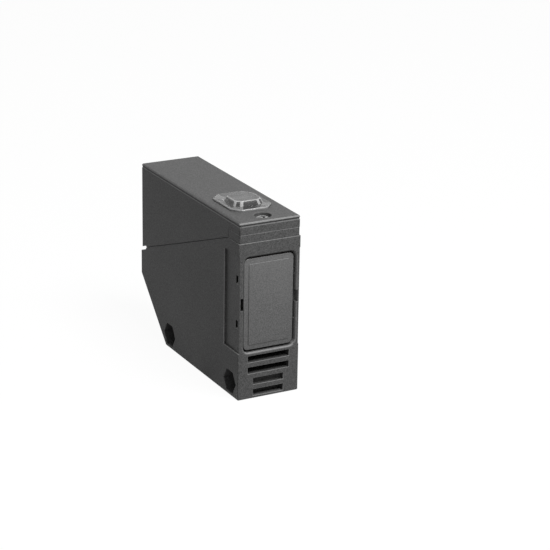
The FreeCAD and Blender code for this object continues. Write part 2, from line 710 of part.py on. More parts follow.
def make_hood():
    hood = hood_block()
    middle = (MOUTH_START + MOUTH_END) / 2
    opening = on_seam(rounded_block(2 * ROOM, MOUTH_END - MOUTH_START, MOUTH_ROUND,
                                    (0, middle), -BEYOND, RIM_HEIGHT + BEYOND))
    y0, y1 = Y_COLLAR + WALL, Y_REAR - WALL
    inside = side_prism([(y0, seam_height(y0, -RIM_HEIGHT)), (y1, seam_height(y1, -RIM_HEIGHT)),
                         (y1, HEIGHT - WALL), (y0, HEIGHT - WALL)], -ROOM, ROOM)
    under = box(-WIDTH, WIDTH, -DEPTH, DEPTH, HEIGHT - WALL, HEIGHT + BEYOND)
    opening = opening.cut(under)
    seat = octagon(LAMP_WIDTH + LAMP_SLACK, LAMP_LENGTH + LAMP_SLACK, LAMP_CORNER,
                   lamp_centre(), HEIGHT - LAMP_SEAT, HEIGHT + BEYOND)
    view = rounded_block(LAMP_OPENING_WIDTH, LAMP_OPENING_LENGTH, MOUTH_ROUND, lamp_centre(),
                         HEIGHT - 2 * WALL, HEIGHT + BEYOND)
    y = Y_FRONT + HOOD_SCREW_SETBACK
    well = rod(SCREW_WELL, HEIGHT, V(0, y, screw_seat_height() - RING_SECTION), V(0, 0, 1))
    hole = rod(SCREW_SHANK + SCREW_CLEARANCE, HEIGHT, V(0, y, KNEE_HEIGHT), V(0, 0, 1))
    hood = hood.cut([opening, inside, seat, view, well, hole, pry_notch()])
    return hood.fuse(hood_hook())


def hood_hook():
    """Tongue on the rear rim that catches under the rear land of the lower body."""
    s = MOUTH_END - HOOK_GAP
    tongue = box(-HOOK_WIDTH / 2, HOOK_WIDTH / 2, s - HOOK_THICKNESS, s, -HOOK_REACH, RIM_HEIGHT)
    nib = box(-HOOK_WIDTH / 2, HOOK_WIDTH / 2, s - HOOK_THICKNESS, s + HOOK_NIB,
              -HOOK_REACH, -HOOK_REACH + HOOK_NIB)
    root = box(-HOOK_WIDTH / 2, HOOK_WIDTH / 2, s - HOOK_THICKNESS, MOUTH_END + HOOK_GAP,
               HOOK_GAP, RIM_HEIGHT)
    return on_seam(tongue.fuse(nib).fuse(root))


def make_hood_gasket():
    return gasket_ring(GASKET_SLACK)


def make_hood_screw():
    y = Y_FRONT + HOOD_SCREW_SETBACK
    seat_z = screw_seat_height()
    head = rod(SCREW_HEAD, SCREW_HEAD_HEIGHT, V(0, y, seat_z), V(0, 0, 1))
    shank = rod(SCREW_SHANK, SCREW_LENGTH, V(0, y, seat_z - SCREW_LENGTH), V(0, 0, 1))
    return head.fuse(shank)


def make_screw_seal():
    """Square-section sealing ring round the shank, under the head of the screw."""
    start = V(0, Y_FRONT + HOOD_SCREW_SETBACK, screw_seat_height() - RING_SECTION)
    ring = rod(RING_DIAMETER + RING_SECTION, RING_SECTION, start, V(0, 0, 1))
    return ring.cut(rod(RING_DIAMETER - RING_SECTION, RING_SECTION, start, V(0, 0, 1)))


def make_screw_insert():
    """Brass sleeve pressed into the collar."""
    y = Y_FRONT + HOOD_SCREW_SETBACK
    top = KNEE_HEIGHT + COLLAR_HEIGHT
    sleeve = rod(INSERT_DIAMETER - 2 * INSERT_SLACK, INSERT_LENGTH,
                 V(0, y, top - INSERT_LENGTH), V(0, 0, 1))
    sleeve = sleeve.cut(rod(SCREW_SHANK + 2 * INSERT_SLACK, INSERT_LENGTH * 2,
                            V(0, y, top - 1.5 * INSERT_LENGTH), V(0, 0, 1)))
    return sleeve


def make_indicator_window():
    """Clear cap: eight-sided flange with a raised block, hollow from below."""
    low = HEIGHT - LAMP_SEAT
    flange_top = low + LAMP_FLANGE
    flange = octagon(LAMP_WIDTH, LAMP_LENGTH, LAMP_CORNER, lamp_centre(), low, flange_top)
    flange = flange.makeChamfer(LAMP_BEVEL, [edge for edge in flange.Edges
                                             if same(edge.BoundBox.ZMin, flange_top)])
    centre = (0, Y_FRONT + DOME_SETBACK)
    dome = tapered_block(DOME_WIDTH, DOME_LENGTH, DOME_CORNER, centre, flange_top + DOME_HEIGHT,
                         flange_top - 0.1, DOME_DRAFT)
    dome = dome.makeChamfer(LAMP_BEVEL, [edge for edge in dome.Edges
                                         if same(edge.BoundBox.ZMin, flange_top + DOME_HEIGHT)])
    hollow = rounded_block(DOME_WIDTH - DOME_WALL, DOME_LENGTH - DOME_WALL, 0, centre,
                           low - 1, flange_top + DOME_HEIGHT - DOME_WALL)
    return flange.fuse(dome).cut(hollow)


def make_front_window():
    """Filter plate with a raised pane and four latch nibs at its sides."""
    back = -Y_FRONT - WINDOW_SETBACK - PANE_RISE - WINDOW_PLATE
    face = back + WINDOW_PLATE
    centre = (0, WINDOW_MIDDLE)
    plate = rounded_block(WINDOW_WIDTH, WINDOW_HEIGHT, WINDOW_ROUND, centre, back, face)
    plate = plate.makeChamfer(WINDOW_EDGE, [edge for edge in plate.Edges
                                            if same(edge.BoundBox.ZMin, face)])
    pane = tapered_block(WINDOW_WIDTH - 2 * PANE_MARGIN - 2 * PANE_BEVEL,
                         WINDOW_HEIGHT - 2 * PANE_MARGIN - 2 * PANE_BEVEL, PANE_CORNER, centre,
                         face + PANE_RISE, face - PANE_BEVEL, PANE_BEVEL)
    window = facing_front(plate.fuse(pane))
    y = Y_FRONT + LATCH_SETBACK + LATCH_GAP
    for top in LATCH_TOPS:
        nib = box(WINDOW_WIDTH / 2 - WINDOW_ROUND, WINDOW_WIDTH / 2 + WINDOW_GAP + LATCH_GAP, y,
                  -face + WINDOW_PLATE, top - LATCH_HEIGHT + LATCH_GAP, top - LATCH_GAP)
        window = window.fuse(both_sides(nib))
    return window


def make_window_seal():
    back = -Y_FRONT - WINDOW_SETBACK - PANE_RISE - WINDOW_PLATE
    centre = (0, WINDOW_MIDDLE)
    outer = rounded_block(WINDOW_WIDTH, WINDOW_HEIGHT, WINDOW_ROUND, centre, back - SEAL_THICKNESS, back)
    inner = rounded_block(WINDOW_WIDTH - 2 * SEAL_WIDTH, WINDOW_HEIGHT - 2 * SEAL_WIDTH, 0,
                          centre, back - BEYOND, back + BEYOND)
    return facing_front(outer.cut(inner))


def forward_rod(diameter, y0, y1, x=0.0, z=WINDOW_MIDDLE):
    return rod(diameter, y1 - y0, V(x, y0, z), V(0, 1, 0))


def lens_seat_y():
    """Place of the shoulder in the carrier that the lens rests on."""
    return SKIN_Y + RETAINER_LENGTH + LENS_EDGE


def make_objective_lens():
    """Plano-convex lens with a flat rim, convex to the front."""
    flat = lens_seat_y()
    edge = flat - LENS_EDGE
    r = LENS_DIAMETER / 2 - LENS_RIM
    ball = (r ** 2 + LENS_SAG ** 2) / (2 * LENS_SAG)
    cap = Part.makeSphere(ball, V(0, edge - LENS_SAG + ball, WINDOW_MIDDLE))
    cap = cap.common(forward_rod(2 * r, edge - 2 * LENS_SAG, edge))
    return cap.fuse(forward_rod(LENS_DIAMETER, edge, flat)).removeSplitter()


def make_lens_retainer():
    ring = forward_rod(LENS_DIAMETER, SKIN_Y, SKIN_Y + RETAINER_LENGTH)
    return ring.cut(forward_rod(LENS_DIAMETER - 2 * RETAINER_WALL, SKIN_Y - 1, lens_seat_y()))


def funnel(wide, narrow, y0, y1):
    """Square funnel round the axis of the optics, from its wide end at y0 to y1."""
    a, b = wide / 2, narrow / 2
    z = WINDOW_MIDDLE
    return Part.makeWedge(-a, y0, z - a, z - b, -b, a, y1, z + a, z + b, b)


def make_lens_carrier():
    """Flange with the lens seat, a funnel behind it and a socket for the emitter."""
    half = CARRIER_WIDTH / 2
    z0 = WINDOW_MIDDLE - CARRIER_HEIGHT / 2
    z1 = WINDOW_MIDDLE + CARRIER_HEIGHT / 2
    flange_end = SKIN_Y + CARRIER_FLANGE
    flange = box(-half, half, SKIN_Y, flange_end, z0, z1)
    funnel_length = CARRIER_LENGTH - CARRIER_FLANGE - SOCKET_THICKNESS
    wide = LENS_DIAMETER / math.sqrt(2) - CARRIER_SHOULDER
    narrow = EMITTER_DIAMETER + 2 * FUNNEL_SLACK
    outside = funnel(wide + 2 * CARRIER_WALL, narrow + 2 * CARRIER_WALL, flange_end,
                     flange_end + funnel_length)
    inside = funnel(wide, narrow, lens_seat_y(), CARRIER_REAR - SOCKET_THICKNESS)
    socket = box(-SOCKET_WIDTH / 2, SOCKET_WIDTH / 2, CARRIER_REAR - SOCKET_THICKNESS, CARRIER_REAR,
                 WINDOW_MIDDLE - SOCKET_HEIGHT / 2, WINDOW_MIDDLE + SOCKET_HEIGHT / 2)
    carrier = flange.fuse([outside, socket])
    seat = forward_rod(LENS_DIAMETER + LENS_GAP, SKIN_Y - 1, lens_seat_y())
    hole = forward_rod(EMITTER_DIAMETER + 2 * LENS_GAP, CARRIER_REAR - 2 * SOCKET_THICKNESS,
                       CARRIER_REAR + 1)
    rim = forward_rod(EMITTER_RIM + 2 * LENS_GAP, CARRIER_REAR - EMITTER_RIM_HEIGHT - LENS_GAP,
                      CARRIER_REAR + 1)
    return carrier.cut([seat, inside, hole, rim])


def make_emitter_led():
    """Infrared diode with its round tip to the lens and two leads through its board."""
    tip = CARRIER_REAR - EMITTER_LENGTH
    body = forward_rod(EMITTER_DIAMETER, tip, CARRIER_REAR)
    body = body.makeChamfer(EMITTER_TIP, [edge for edge in body.Edges
                                          if edge.BoundBox.YMax < tip + EMITTER_TIP])
    rim = forward_rod(EMITTER_RIM, CARRIER_REAR - EMITTER_RIM_HEIGHT, CARRIER_REAR)
    leads = emitter_leads(CARRIER_REAR - EMITTER_RIM_HEIGHT / 2, 0)
    return body.fuse([rim] + leads).removeSplitter()


def emitter_leads(y0, slack):
    """The two square leads of the emitter, wider all round by the slack."""
    half = LEAD / 2 + slack
    y1 = CARRIER_REAR + BOARD_THICKNESS + LEAD_TAIL
    places = (WINDOW_MIDDLE - LEAD_PITCH / 2, WINDOW_MIDDLE + LEAD_PITCH / 2)
    return [box(-half, half, y0, y1, z - half, z + half) for z in places]


def make_emitter_board():
    half = LOWER_ROOM - EMITTER_BOARD_GAP
    board = box(-half, half, CARRIER_REAR, CARRIER_REAR + BOARD_THICKNESS,
                WINDOW_MIDDLE - EMITTER_BOARD_HEIGHT / 2, WINDOW_MIDDLE + EMITTER_BOARD_HEIGHT / 2)
    return board.cut(emitter_leads(CARRIER_REAR - BEYOND, INSERT_SLACK))


def deck_plate():
    length = DECK_END - MOUTH_START - DECK_GAP
    middle = DECK_END - length / 2
    return rounded_block(2 * (ROOM - DECK_GAP), length, MOUTH_ROUND, (0, middle),
                         -DECK_UNDER, -DECK_DROP)


def make_terminal_deck():
    """Sloping inner cover with a partition that closes the electronics off."""
    deck = on_seam(deck_plate())
    y_end = PARTITION_REAR
    y0 = y_end - PARTITION_THICKNESS
    over = DECK_UNDER - DECK_THICKNESS / 2
    half = LOWER_ROOM - DECK_GAP
    partition = side_prism([(y0, entry_floor(y0) + DECK_GAP), (y_end, entry_floor(y_end) + DECK_GAP),
                            (y_end, seam_height(y_end, over)), (y0, seam_height(y0, over))],
                           -half, half)
    cuts = [upright_bar(PIPE_WIDTH + PIPE_GAP, -2 * DECK_UNDER, BEYOND)]
    for x in (-DECK_SCREW_X, DECK_SCREW_X):
        cuts.append(rod(DECK_SCREW_SHANK + SCREW_CLEARANCE, 4 * DECK_UNDER,
                        V(x, deck_screw_place(), -2 * DECK_UNDER), V(0, 0, 1)))
    for x in pole_places():
        half_slot = CONTACT_WIDTH / 2 + CLAMP_GAP
        s = contact_drop_place()
        cuts.append(box(x - half_slot, x + half_slot, s - CLAMP_GAP, s + CONTACT_THICKNESS + CLAMP_GAP,
                        -2 * DECK_UNDER, 0))
    posts = []
    edge = TERMINAL_BOARD_WIDTH / 2
    for s in (TERMINAL_BOARD_START + POST_WIDTH, TERMINAL_BOARD_END - POST_WIDTH):
        post = box(edge - 1.5 * POST_WIDTH, edge - POST_WIDTH / 2, s, s + POST_WIDTH,
                   -BOARD_TOP, -DECK_UNDER)
        posts += both_sides(on_seam(post))
    return deck.fuse([partition] + posts).cut([on_seam(cut) for cut in cuts])


def make_deck_screws():
    screws = []
    for x in (-DECK_SCREW_X, DECK_SCREW_X):
        s = deck_screw_place()
        head = rod(DECK_SCREW_HEAD, DECK_SCREW_HEAD_HEIGHT, V(x, s, -DECK_DROP), V(0, 0, 1))
        shank = rod(DECK_SCREW_SHANK, DECK_SCREW_LENGTH,
                    V(x, s, -DECK_DROP - DECK_SCREW_LENGTH), V(0, 0, 1))
        screws.append(on_seam(head.fuse(shank)))
    return screws


def pole_places():
    first = -(POLES - 1) * POLE_PITCH / 2
    return [first + k * POLE_PITCH for k in range(POLES)]


def contact_drop_place():
    """Distance down the slope at which the contacts pass through the deck."""
    return TERMINAL_START + TERMINAL_LENGTH - CHAMBER_DEPTH


def make_terminal_block():
    """Moulded block with a clamp chamber and a screw well for each pole."""
    half = POLES * POLE_PITCH / 2
    s0, s1 = TERMINAL_START, TERMINAL_START + TERMINAL_LENGTH
    floor = -DECK_DROP
    block = box(-half, half, s0, s1, floor, floor + TERMINAL_HEIGHT)
    block = chamfer_edges(block, TERMINAL_BEVEL, lambda a, b: same(a.z, floor + TERMINAL_HEIGHT)
                          and same(b.z, a.z) and same(a.y, s1) and same(b.y, s1))
    cuts = []
    reach = POLE_PITCH / 2 - TERMINAL_WALL / 2
    low = floor + CHAMBER_FLOOR
    for x in pole_places():
        cuts.append(box(x - reach, x + reach, s1 - CHAMBER_DEPTH, s1 + 1, low, low + CHAMBER_HEIGHT))
        well, middle = TERMINAL_SCREW_HEAD / 2 + CLAMP_GAP, clamp_middle()
        cuts.append(box(x - well, x + well, middle - well, middle + well, low, low + TERMINAL_HEIGHT))
        drop = CONTACT_WIDTH / 2 + CLAMP_GAP
        cuts.append(box(x - drop, x + drop, s1 - CHAMBER_DEPTH, s1 - CHAMBER_DEPTH + CONTACT_THICKNESS
                        + CLAMP_GAP, floor - 1, low + 1))
    return on_seam(block.cut(cuts))


def clamp_middle():
    return TERMINAL_START + TERMINAL_LENGTH - CHAMBER_DEPTH / 2


def clamp_floor():
    return -DECK_DROP + CHAMBER_FLOOR + CLAMP_GAP


def make_terminal_clamps():
    """Square wire cages, one in each chamber."""
    clamps = []
    low = clamp_floor()
    high = low + CHAMBER_HEIGHT - 2 * CLAMP_GAP
    s0 = clamp_middle() - CLAMP_LENGTH / 2
    for x in pole_places():
        half, reach = CLAMP_ROOM / 2, CLAMP_ROOM / 2 + CLAMP_WALL
        cage = box(x - reach, x + reach, s0, s0 + CLAMP_LENGTH, low, high)
        room = box(x - half, x + half, s0 - BEYOND, s0 + CLAMP_LENGTH + BEYOND,
                   low + CLAMP_WALL, high - CLAMP_WALL)
        middle = clamp_middle()
        thread = box(x - half, x + half, middle - half, middle + half, low + CLAMP_WALL, high + BEYOND)
        clamps.append(on_seam(cage.cut([room, thread])))
    return clamps


def make_terminal_screws():
    screws = []
    head_low = clamp_floor() + CHAMBER_HEIGHT - 2 * CLAMP_GAP
    for x in pole_places():
        s = clamp_middle()
        head = rod(TERMINAL_SCREW_HEAD, TERMINAL_SCREW_HEAD_HEIGHT, V(x, s, head_low), V(0, 0, 1))
        length = CLAMP_WALL + TERMINAL_SCREW_REACH
        shank = rod(TERMINAL_SCREW, length, V(x, s, head_low - length), V(0, 0, 1))
        screws.append(on_seam(head.fuse(shank)))
    return screws


def make_terminal_contacts():
    """Bent strips from each cage down through the deck to the terminal board."""
    strips = []
    low = clamp_floor() + CLAMP_WALL
    s = contact_drop_place()
    for x in pole_places():
        x0, x1 = x - CONTACT_WIDTH / 2, x + CONTACT_WIDTH / 2
        tongue = box(x0, x1, s, s + CONTACT_LENGTH, low, low + CONTACT_THICKNESS)
        drop = box(x0, x1, s, s + CONTACT_THICKNESS, -BOARD_TOP, low + CONTACT_THICKNESS)
        strips.append(on_seam(tongue.fuse(drop)))
    return strips


def make_terminal_board():
    board = box(-TERMINAL_BOARD_WIDTH / 2, TERMINAL_BOARD_WIDTH / 2, TERMINAL_BOARD_START,
                TERMINAL_BOARD_END, -BOARD_UNDER, -BOARD_TOP)
    return on_seam(board)


def make_power_led():
    return on_seam(upright_bar(LAMP_LED_WIDTH, -BOARD_TOP, -BOARD_TOP + LAMP_LED_HEIGHT))


def upright_bar(width, z0, z1):
    """Square bar at the place of the power lamp, between two levels over the sealing plane."""
    half = width / 2
    return box(-half, half, LAMP_AT - half, LAMP_AT + half, z0, z1)


def make_light_pipe():
    """Clear bar from over the power lamp to just below the indicator window."""
    foot = upright_bar(PIPE_FOOT, -DECK_DROP, PIPE_FOOT_HEIGHT - DECK_DROP)
    start_height = KNEE_HEIGHT - LAMP_AT * math.sin(SEAM_RAD)
    top = (HEIGHT - PIPE_TOP_DROP - start_height) / math.cos(SEAM_RAD)
    stem = upright_bar(PIPE_WIDTH, -DECK_DROP, top)
    socket = upright_bar(LAMP_LED_WIDTH + PIPE_GAP, -DECK_UNDER,
                         LAMP_LED_HEIGHT + PIPE_GAP - BOARD_TOP)
    return on_seam(foot.fuse(stem).cut(socket))


def main_top(y):
    return seam_height(y, MAIN_TOP)


def make_main_board():
    y0 = Y_BLOCK + MAIN_BOARD_GAP
    y_low = entry_floor_place(MAIN_BOARD_BOTTOM) - MAIN_BOARD_GAP
    corner = entry_floor(MAIN_BOARD_REAR) + MAIN_BOARD_GAP
    outline = [(y0, MAIN_BOARD_BOTTOM), (y_low, MAIN_BOARD_BOTTOM), (MAIN_BOARD_REAR, corner),
               (MAIN_BOARD_REAR, main_top(MAIN_BOARD_REAR)),
               (MAIN_BOARD_FRONT, main_top(MAIN_BOARD_FRONT)), (MAIN_BOARD_FRONT, MAIN_BOARD_STEP),
               (y0, MAIN_BOARD_STEP)]
    return side_prism(outline, MAIN_BOARD_X, MAIN_BOARD_X + BOARD_THICKNESS)


def component_face():
    return MAIN_BOARD_X + BOARD_THICKNESS


def link_start():
    """Distance down the slope at which the header starts, just behind the board's front edge."""
    reach = MAIN_BOARD_FRONT - Y_COLLAR + BOARD_UNDER * math.sin(SEAM_RAD)
    return reach / math.cos(SEAM_RAD) + LINK_INSET


def make_link_header():
    x = component_face()
    bar = box(x, x + LINK_WIDTH, link_start(), link_start() + LINK_PINS * LEAD_PITCH,
              -BOARD_UNDER - LINK_WIDTH, -BOARD_UNDER)
    holes = link_pin_shapes(INSERT_SLACK)
    return on_seam(bar.cut(holes))


def link_pin_shapes(slack):
    """Square pins from the terminal board, bent over into the main board."""
    pins = []
    half = PIN / 2 + slack
    x = component_face() + LINK_WIDTH / 2
    z = -BOARD_UNDER - LINK_WIDTH / 2
    for k in range(LINK_PINS):
        s = link_start() + (k + 0.5) * LEAD_PITCH
        up = box(x - half, x + half, s - half, s + half, z - half, -BOARD_UNDER + slack)
        over = box(component_face() - slack, x + half, s - half, s + half, z - half, z + half)
        pins.append(up.fuse(over))
    return pins


def make_link_pins():
    return [on_seam(pin) for pin in link_pin_shapes(0)]


def choke_place():
    return Y_BLOCK + CHOKE_SETBACK, MAIN_BOARD_BOTTOM + CHOKE_RAISE


def column_places(*heights):
    """Middles of parts that stand over each other at the rear of the board, evenly spaced."""
    low = MAIN_BOARD_STEP
    spare = main_top(MAIN_BOARD_REAR) - PART_GAP - low - sum(heights)
    gap = spare / (len(heights) + 1)
    middles = []
    for height in heights:
        middles.append(low + gap + height / 2)
        low += gap + height
    return middles


def make_power_choke():
    """Ferrite frame with a middle limb, held off the board by its winding."""
    y, z = choke_place()
    length, height, depth = CHOKE_SIZE
    x0 = component_face() + (depth - CHOKE_CORE) / 2
    x1 = x0 + CHOKE_CORE
    frame = box(x0, x1, y - length / 2, y + length / 2, z - height / 2, z + height / 2)
    window = box(x0 - 1, x1 + 1, y - length / 2 + CHOKE_LIMB, y + length / 2 - CHOKE_LIMB,
                 z - height / 2 + CHOKE_LIMB, z + height / 2 - CHOKE_LIMB)
    limb = box(x0, x1, y - length / 2, y + length / 2, z - CHOKE_MIDDLE_LIMB / 2,
               z + CHOKE_MIDDLE_LIMB / 2)
    return frame.cut(window).fuse(limb)


def make_choke_winding():
    """Taped winding round the middle limb, soldered down on the main board."""
    y, z = choke_place()
    length, height, depth = CHOKE_SIZE
    x = component_face()
    inset = CHOKE_LIMB + CHOKE_GAP
    coil = box(x, x + depth, y - length / 2 + inset, y + length / 2 - inset,
               z - height / 2 + inset, z + height / 2 - inset)
    side = (depth - CHOKE_CORE) / 2 - CHOKE_GAP
    reach = CHOKE_MIDDLE_LIMB / 2 + CHOKE_GAP
    limb = box(x + side, x + depth - side, y - length, y + length, z - reach, z + reach)
    return coil.cut(limb)


def make_capacitor():
    """Electrolytic can that stands on the main board."""
    start = V(component_face(), Y_BLOCK + CAPACITOR_SETBACK, MAIN_BOARD_BOTTOM + CAPACITOR_RAISE)
    return rod(CAPACITOR_DIAMETER, CAPACITOR_LENGTH, start, V(1, 0, 0))


def make_varistor():
    """Coated disc that stands on its edge on two leads."""
    y = MAIN_BOARD_REAR - PART_GAP - VARISTOR_DIAMETER / 2
    z = column_places(VARISTOR_THICKNESS, RECTIFIER_SIZE[1])[0]
    x = component_face()
    middle = V(x + VARISTOR_DIAMETER / 2 + VARISTOR_STAND_OFF, y, z - VARISTOR_THICKNESS / 2)
    disc = rod(VARISTOR_DIAMETER, VARISTOR_THICKNESS, middle, V(0, 0, 1))
    reach = VARISTOR_DIAMETER / 2 + VARISTOR_STAND_OFF
    half = VARISTOR_LEAD / 2
    leads = [box(x, x + reach, at - half, at + half, z - half, z + half)
             for at in (y - VARISTOR_LEAD_PITCH / 2, y + VARISTOR_LEAD_PITCH / 2)]
    return disc.fuse(leads)


def chip(y, z, size, pins_per_side, x, out):
    """Flat package on the board with bent pins on two edges; out is +1 or -1."""
    length, height, thick = size
    x0, x1 = sorted((x + out * CHIP_LIFT, x + out * thick))
    half = height / 2 - CHIP_PIN_REACH
    body = box(x0, x1, y - length / 2, y + length / 2, z - half, z + half)
    pins = []
    for k in range(pins_per_side):
        at = y + (k + 0.5) * length / pins_per_side - length / 2
        p0, p1 = sorted((x, x + out * CHIP_PIN_HEIGHT))
        pins.append(box(p0, p1, at - CHIP_PIN_WIDTH / 2, at + CHIP_PIN_WIDTH / 2,
                        z - height / 2, z + height / 2))
    return body.fuse(pins)


def make_rectifier():
    y = MAIN_BOARD_REAR - PART_GAP - RECTIFIER_SIZE[0] / 2
    z = column_places(VARISTOR_THICKNESS, RECTIFIER_SIZE[1])[1]
    return chip(y, z, RECTIFIER_SIZE, 2, component_face(), 1)


def make_regulator():
    y = MAIN_BOARD_REAR - PART_GAP - REGULATOR_SIZE[0] / 2
    z = MAIN_BOARD_STEP + REGULATOR_RAISE + REGULATOR_SIZE[1] / 2
    return chip(y, z, REGULATOR_SIZE, 3, MAIN_BOARD_X, -1)


def make_driver_chip():
    y = MAIN_BOARD_FRONT + PART_GAP + DRIVER_SIZE[0] / 2
    return chip(y, WINDOW_MIDDLE - DRIVER_DROP, DRIVER_SIZE, 4, MAIN_BOARD_X, -1)


def make_emitter_link():
    pins = []
    half = PIN / 2
    x = component_face() + EMITTER_LINK_X
    y_board = CARRIER_REAR + BOARD_THICKNESS
    y_main = y_board + MAIN_BOARD_GAP + EMITTER_LINK_REACH
    for k in range(EMITTER_LINKS):
        z = WINDOW_MIDDLE - EMITTER_LINK_DROP + k * LEAD_PITCH
        along = box(x - half, x + half, y_board, y_main + half, z - half, z + half)
        over = box(component_face(), x + half, y_main - half, y_main + half, z - half, z + half)
        pins.append(along.fuse(over))
    return pins


def make_gland_sleeve():
    """Hollow pressure screw, flush in the sloped face, with two keyways for its tool."""
    outer = ENTRY_THREAD - THREAD_SLACK
    top = -SLEEVE_RECESS
    sleeve = rod(outer, SLEEVE_LENGTH, V(0, 0, top - SLEEVE_LENGTH), V(0, 0, 1))
    bore = rod(SLEEVE_BORE, 2 * SLEEVE_LENGTH, V(0, 0, -2 * SLEEVE_LENGTH), V(0, 0, 1))
    key = box(-outer, outer, -SLEEVE_KEYWAY / 2, SLEEVE_KEYWAY / 2, top - SLEEVE_KEY_DEPTH, 1)
    return on_slope(sleeve.cut([bore, key]))


def make_gland_washer():
    top = -SLEEVE_RECESS - SLEEVE_LENGTH
    ring = rod(GROMMET_DIAMETER, WASHER_THICKNESS, V(0, 0, top - WASHER_THICKNESS), V(0, 0, 1))
    bore = rod(WASHER_BORE, 3 * WASHER_THICKNESS, V(0, 0, top - 2 * WASHER_THICKNESS), V(0, 0, 1))
    return on_slope(ring.cut(bore))


def make_gland_grommet():
    top = -SLEEVE_RECESS - SLEEVE_LENGTH - WASHER_THICKNESS
    ring = rod(GROMMET_DIAMETER, GROMMET_LENGTH, V(0, 0, top - GROMMET_LENGTH), V(0, 0, 1))
    bore = rod(GROMMET_BORE, 2 * GROMMET_LENGTH, V(0, 0, top - 1.5 * GROMMET_LENGTH), V(0, 0, 1))
    return on_slope(ring.cut(bore))


PARTS = {
    "base_housing": make_base_housing,
    "hood": make_hood,
    "hood_gasket": make_hood_gasket,
    "hood_screw": make_hood_screw,
    "screw_seal_ring": make_screw_seal,
    "screw_insert": make_screw_insert,
    "indicator_window": make_indicator_window,
    "front_window": make_front_window,
    "window_seal": make_window_seal,
    "objective_lens": make_objective_lens,
    "lens_retainer": make_lens_retainer,
    "lens_carrier": make_lens_carrier,
    "emitter_led": make_emitter_led,
    "emitter_board": make_emitter_board,
    "emitter_link_pins": make_emitter_link,
    "main_board": make_main_board,
    "power_choke_core": make_power_choke,
    "power_choke_winding": make_choke_winding,
    "smoothing_capacitor": make_capacitor,
    "surge_varistor": make_varistor,
    "bridge_rectifier": make_rectifier,
    "voltage_regulator": make_regulator,
    "driver_chip": make_driver_chip,
    "link_header": make_link_header,
    "link_header_pins": make_link_pins,
    "terminal_board": make_terminal_board,
    "power_led": make_power_led,
    "light_pipe": make_light_pipe,
    "terminal_deck": make_terminal_deck,
    "deck_screws": make_deck_screws,
    "terminal_block": make_terminal_block,
    "terminal_clamps": make_terminal_clamps,
    "terminal_screws": make_terminal_screws,
    "terminal_contacts": make_terminal_contacts,
    "gland_sleeve": make_gland_sleeve,
    "gland_washer": make_gland_washer,
    "gland_grommet": make_gland_grommet,
}


def main():
    os.makedirs("parts", exist_ok=True)
    for name, make in PARTS.items():
        made = make()
        shape = Part.makeCompound(made) if isinstance(made, list) else made
        if len(shape.Solids) == 1:
            shape = shape.Solids[0]
        shape.exportStep("parts/%s.step" % name)
        print(name, len(shape.Solids), "solids", round(shape.Volume, 2), "mm3",
              "ok" if shape.isValid() else "NOT VALID")


main()
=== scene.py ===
"""Looks for the through-beam sensor, in metres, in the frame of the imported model."""

import json
import math

import bmesh
import bpy
from mathutils import Matrix, Vector

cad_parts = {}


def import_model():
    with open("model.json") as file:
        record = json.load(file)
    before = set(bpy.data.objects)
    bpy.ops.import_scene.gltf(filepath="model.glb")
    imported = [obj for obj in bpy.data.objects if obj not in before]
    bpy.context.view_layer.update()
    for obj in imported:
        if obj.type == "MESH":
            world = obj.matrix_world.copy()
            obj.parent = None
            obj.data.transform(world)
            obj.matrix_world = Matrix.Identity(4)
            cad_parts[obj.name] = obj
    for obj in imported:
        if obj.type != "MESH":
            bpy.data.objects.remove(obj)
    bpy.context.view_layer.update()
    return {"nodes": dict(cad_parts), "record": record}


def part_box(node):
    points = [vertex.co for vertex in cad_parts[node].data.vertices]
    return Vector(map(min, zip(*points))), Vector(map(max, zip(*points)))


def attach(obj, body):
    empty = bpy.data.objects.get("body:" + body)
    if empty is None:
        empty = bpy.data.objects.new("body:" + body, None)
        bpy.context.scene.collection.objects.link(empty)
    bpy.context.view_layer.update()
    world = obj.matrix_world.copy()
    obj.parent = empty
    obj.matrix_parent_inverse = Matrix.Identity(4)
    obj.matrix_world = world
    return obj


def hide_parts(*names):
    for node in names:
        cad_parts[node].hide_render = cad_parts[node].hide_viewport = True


MM = 0.001

# Housing, in millimetres, as in the solids
HALF_WIDTH = 12.0
HALF_DEPTH = 40.0
Y_FRONT = -HALF_DEPTH
TOP = 65.0
KNEE = 57.7
COLLAR_TOP = 60.7
UPRIGHT_EDGE = 0.8
OUTER = 1.0
RIND = 1.1

# Front window: plate, pane on it and opening around it
WINDOW_WIDTH = 19.4
WINDOW_HEIGHT = 33.65
WINDOW_MIDDLE = 34.925
WINDOW_LOW = WINDOW_MIDDLE - WINDOW_HEIGHT / 2
WINDOW_FACE = -39.25
WINDOW_BACK = -37.35
WINDOW_CORNER = 1.8
PLATE_EDGE = 0.3
PANE_MARGIN = 1.9
PANE_RISE = 0.25
PANE_ROOT = 0.3
PANE_SLOPE = 0.2
PANE_CORNER = 0.5
OPENING_RIM = 1.3
OPENING_LOW = WINDOW_LOW - OPENING_RIM
OPENING_WALL = 0.75
LIP_OUTER = 11.0
LIP_KEPT = 8.6
LIP_SHARE = 0.75
LIP_DEPTH = 3.1
NOTCH_LOW = 33.42
NOTCH_HIGH = 37.83
NOTCH_REACH = 1.55
NOTCH_START = 0.2
NOTCH_END = 2.1
SILL_REACH = 1.6
WALL_INNER = 9.0
WALL_DEPTH = 2.6

# Latch openings of the window in the side recesses
LATCH_TOPS = (45.9, 29.4)
LATCH_HEIGHT = 2.7
LATCH_BELOW = 0.6
LATCH_ABOVE = 0.1
LATCH_START = 1.3
LATCH_END = 2.95
RAMP_REACH = 1.2
LATCH_SETBACK = 1.9
LATCH_INNER = HALF_WIDTH - 2.2
LATCH_GAP = 0.15
LATCH_REACH = 9.9
LATCH_WIDEN = 0.5
LATCH_SLIDE = 0.023

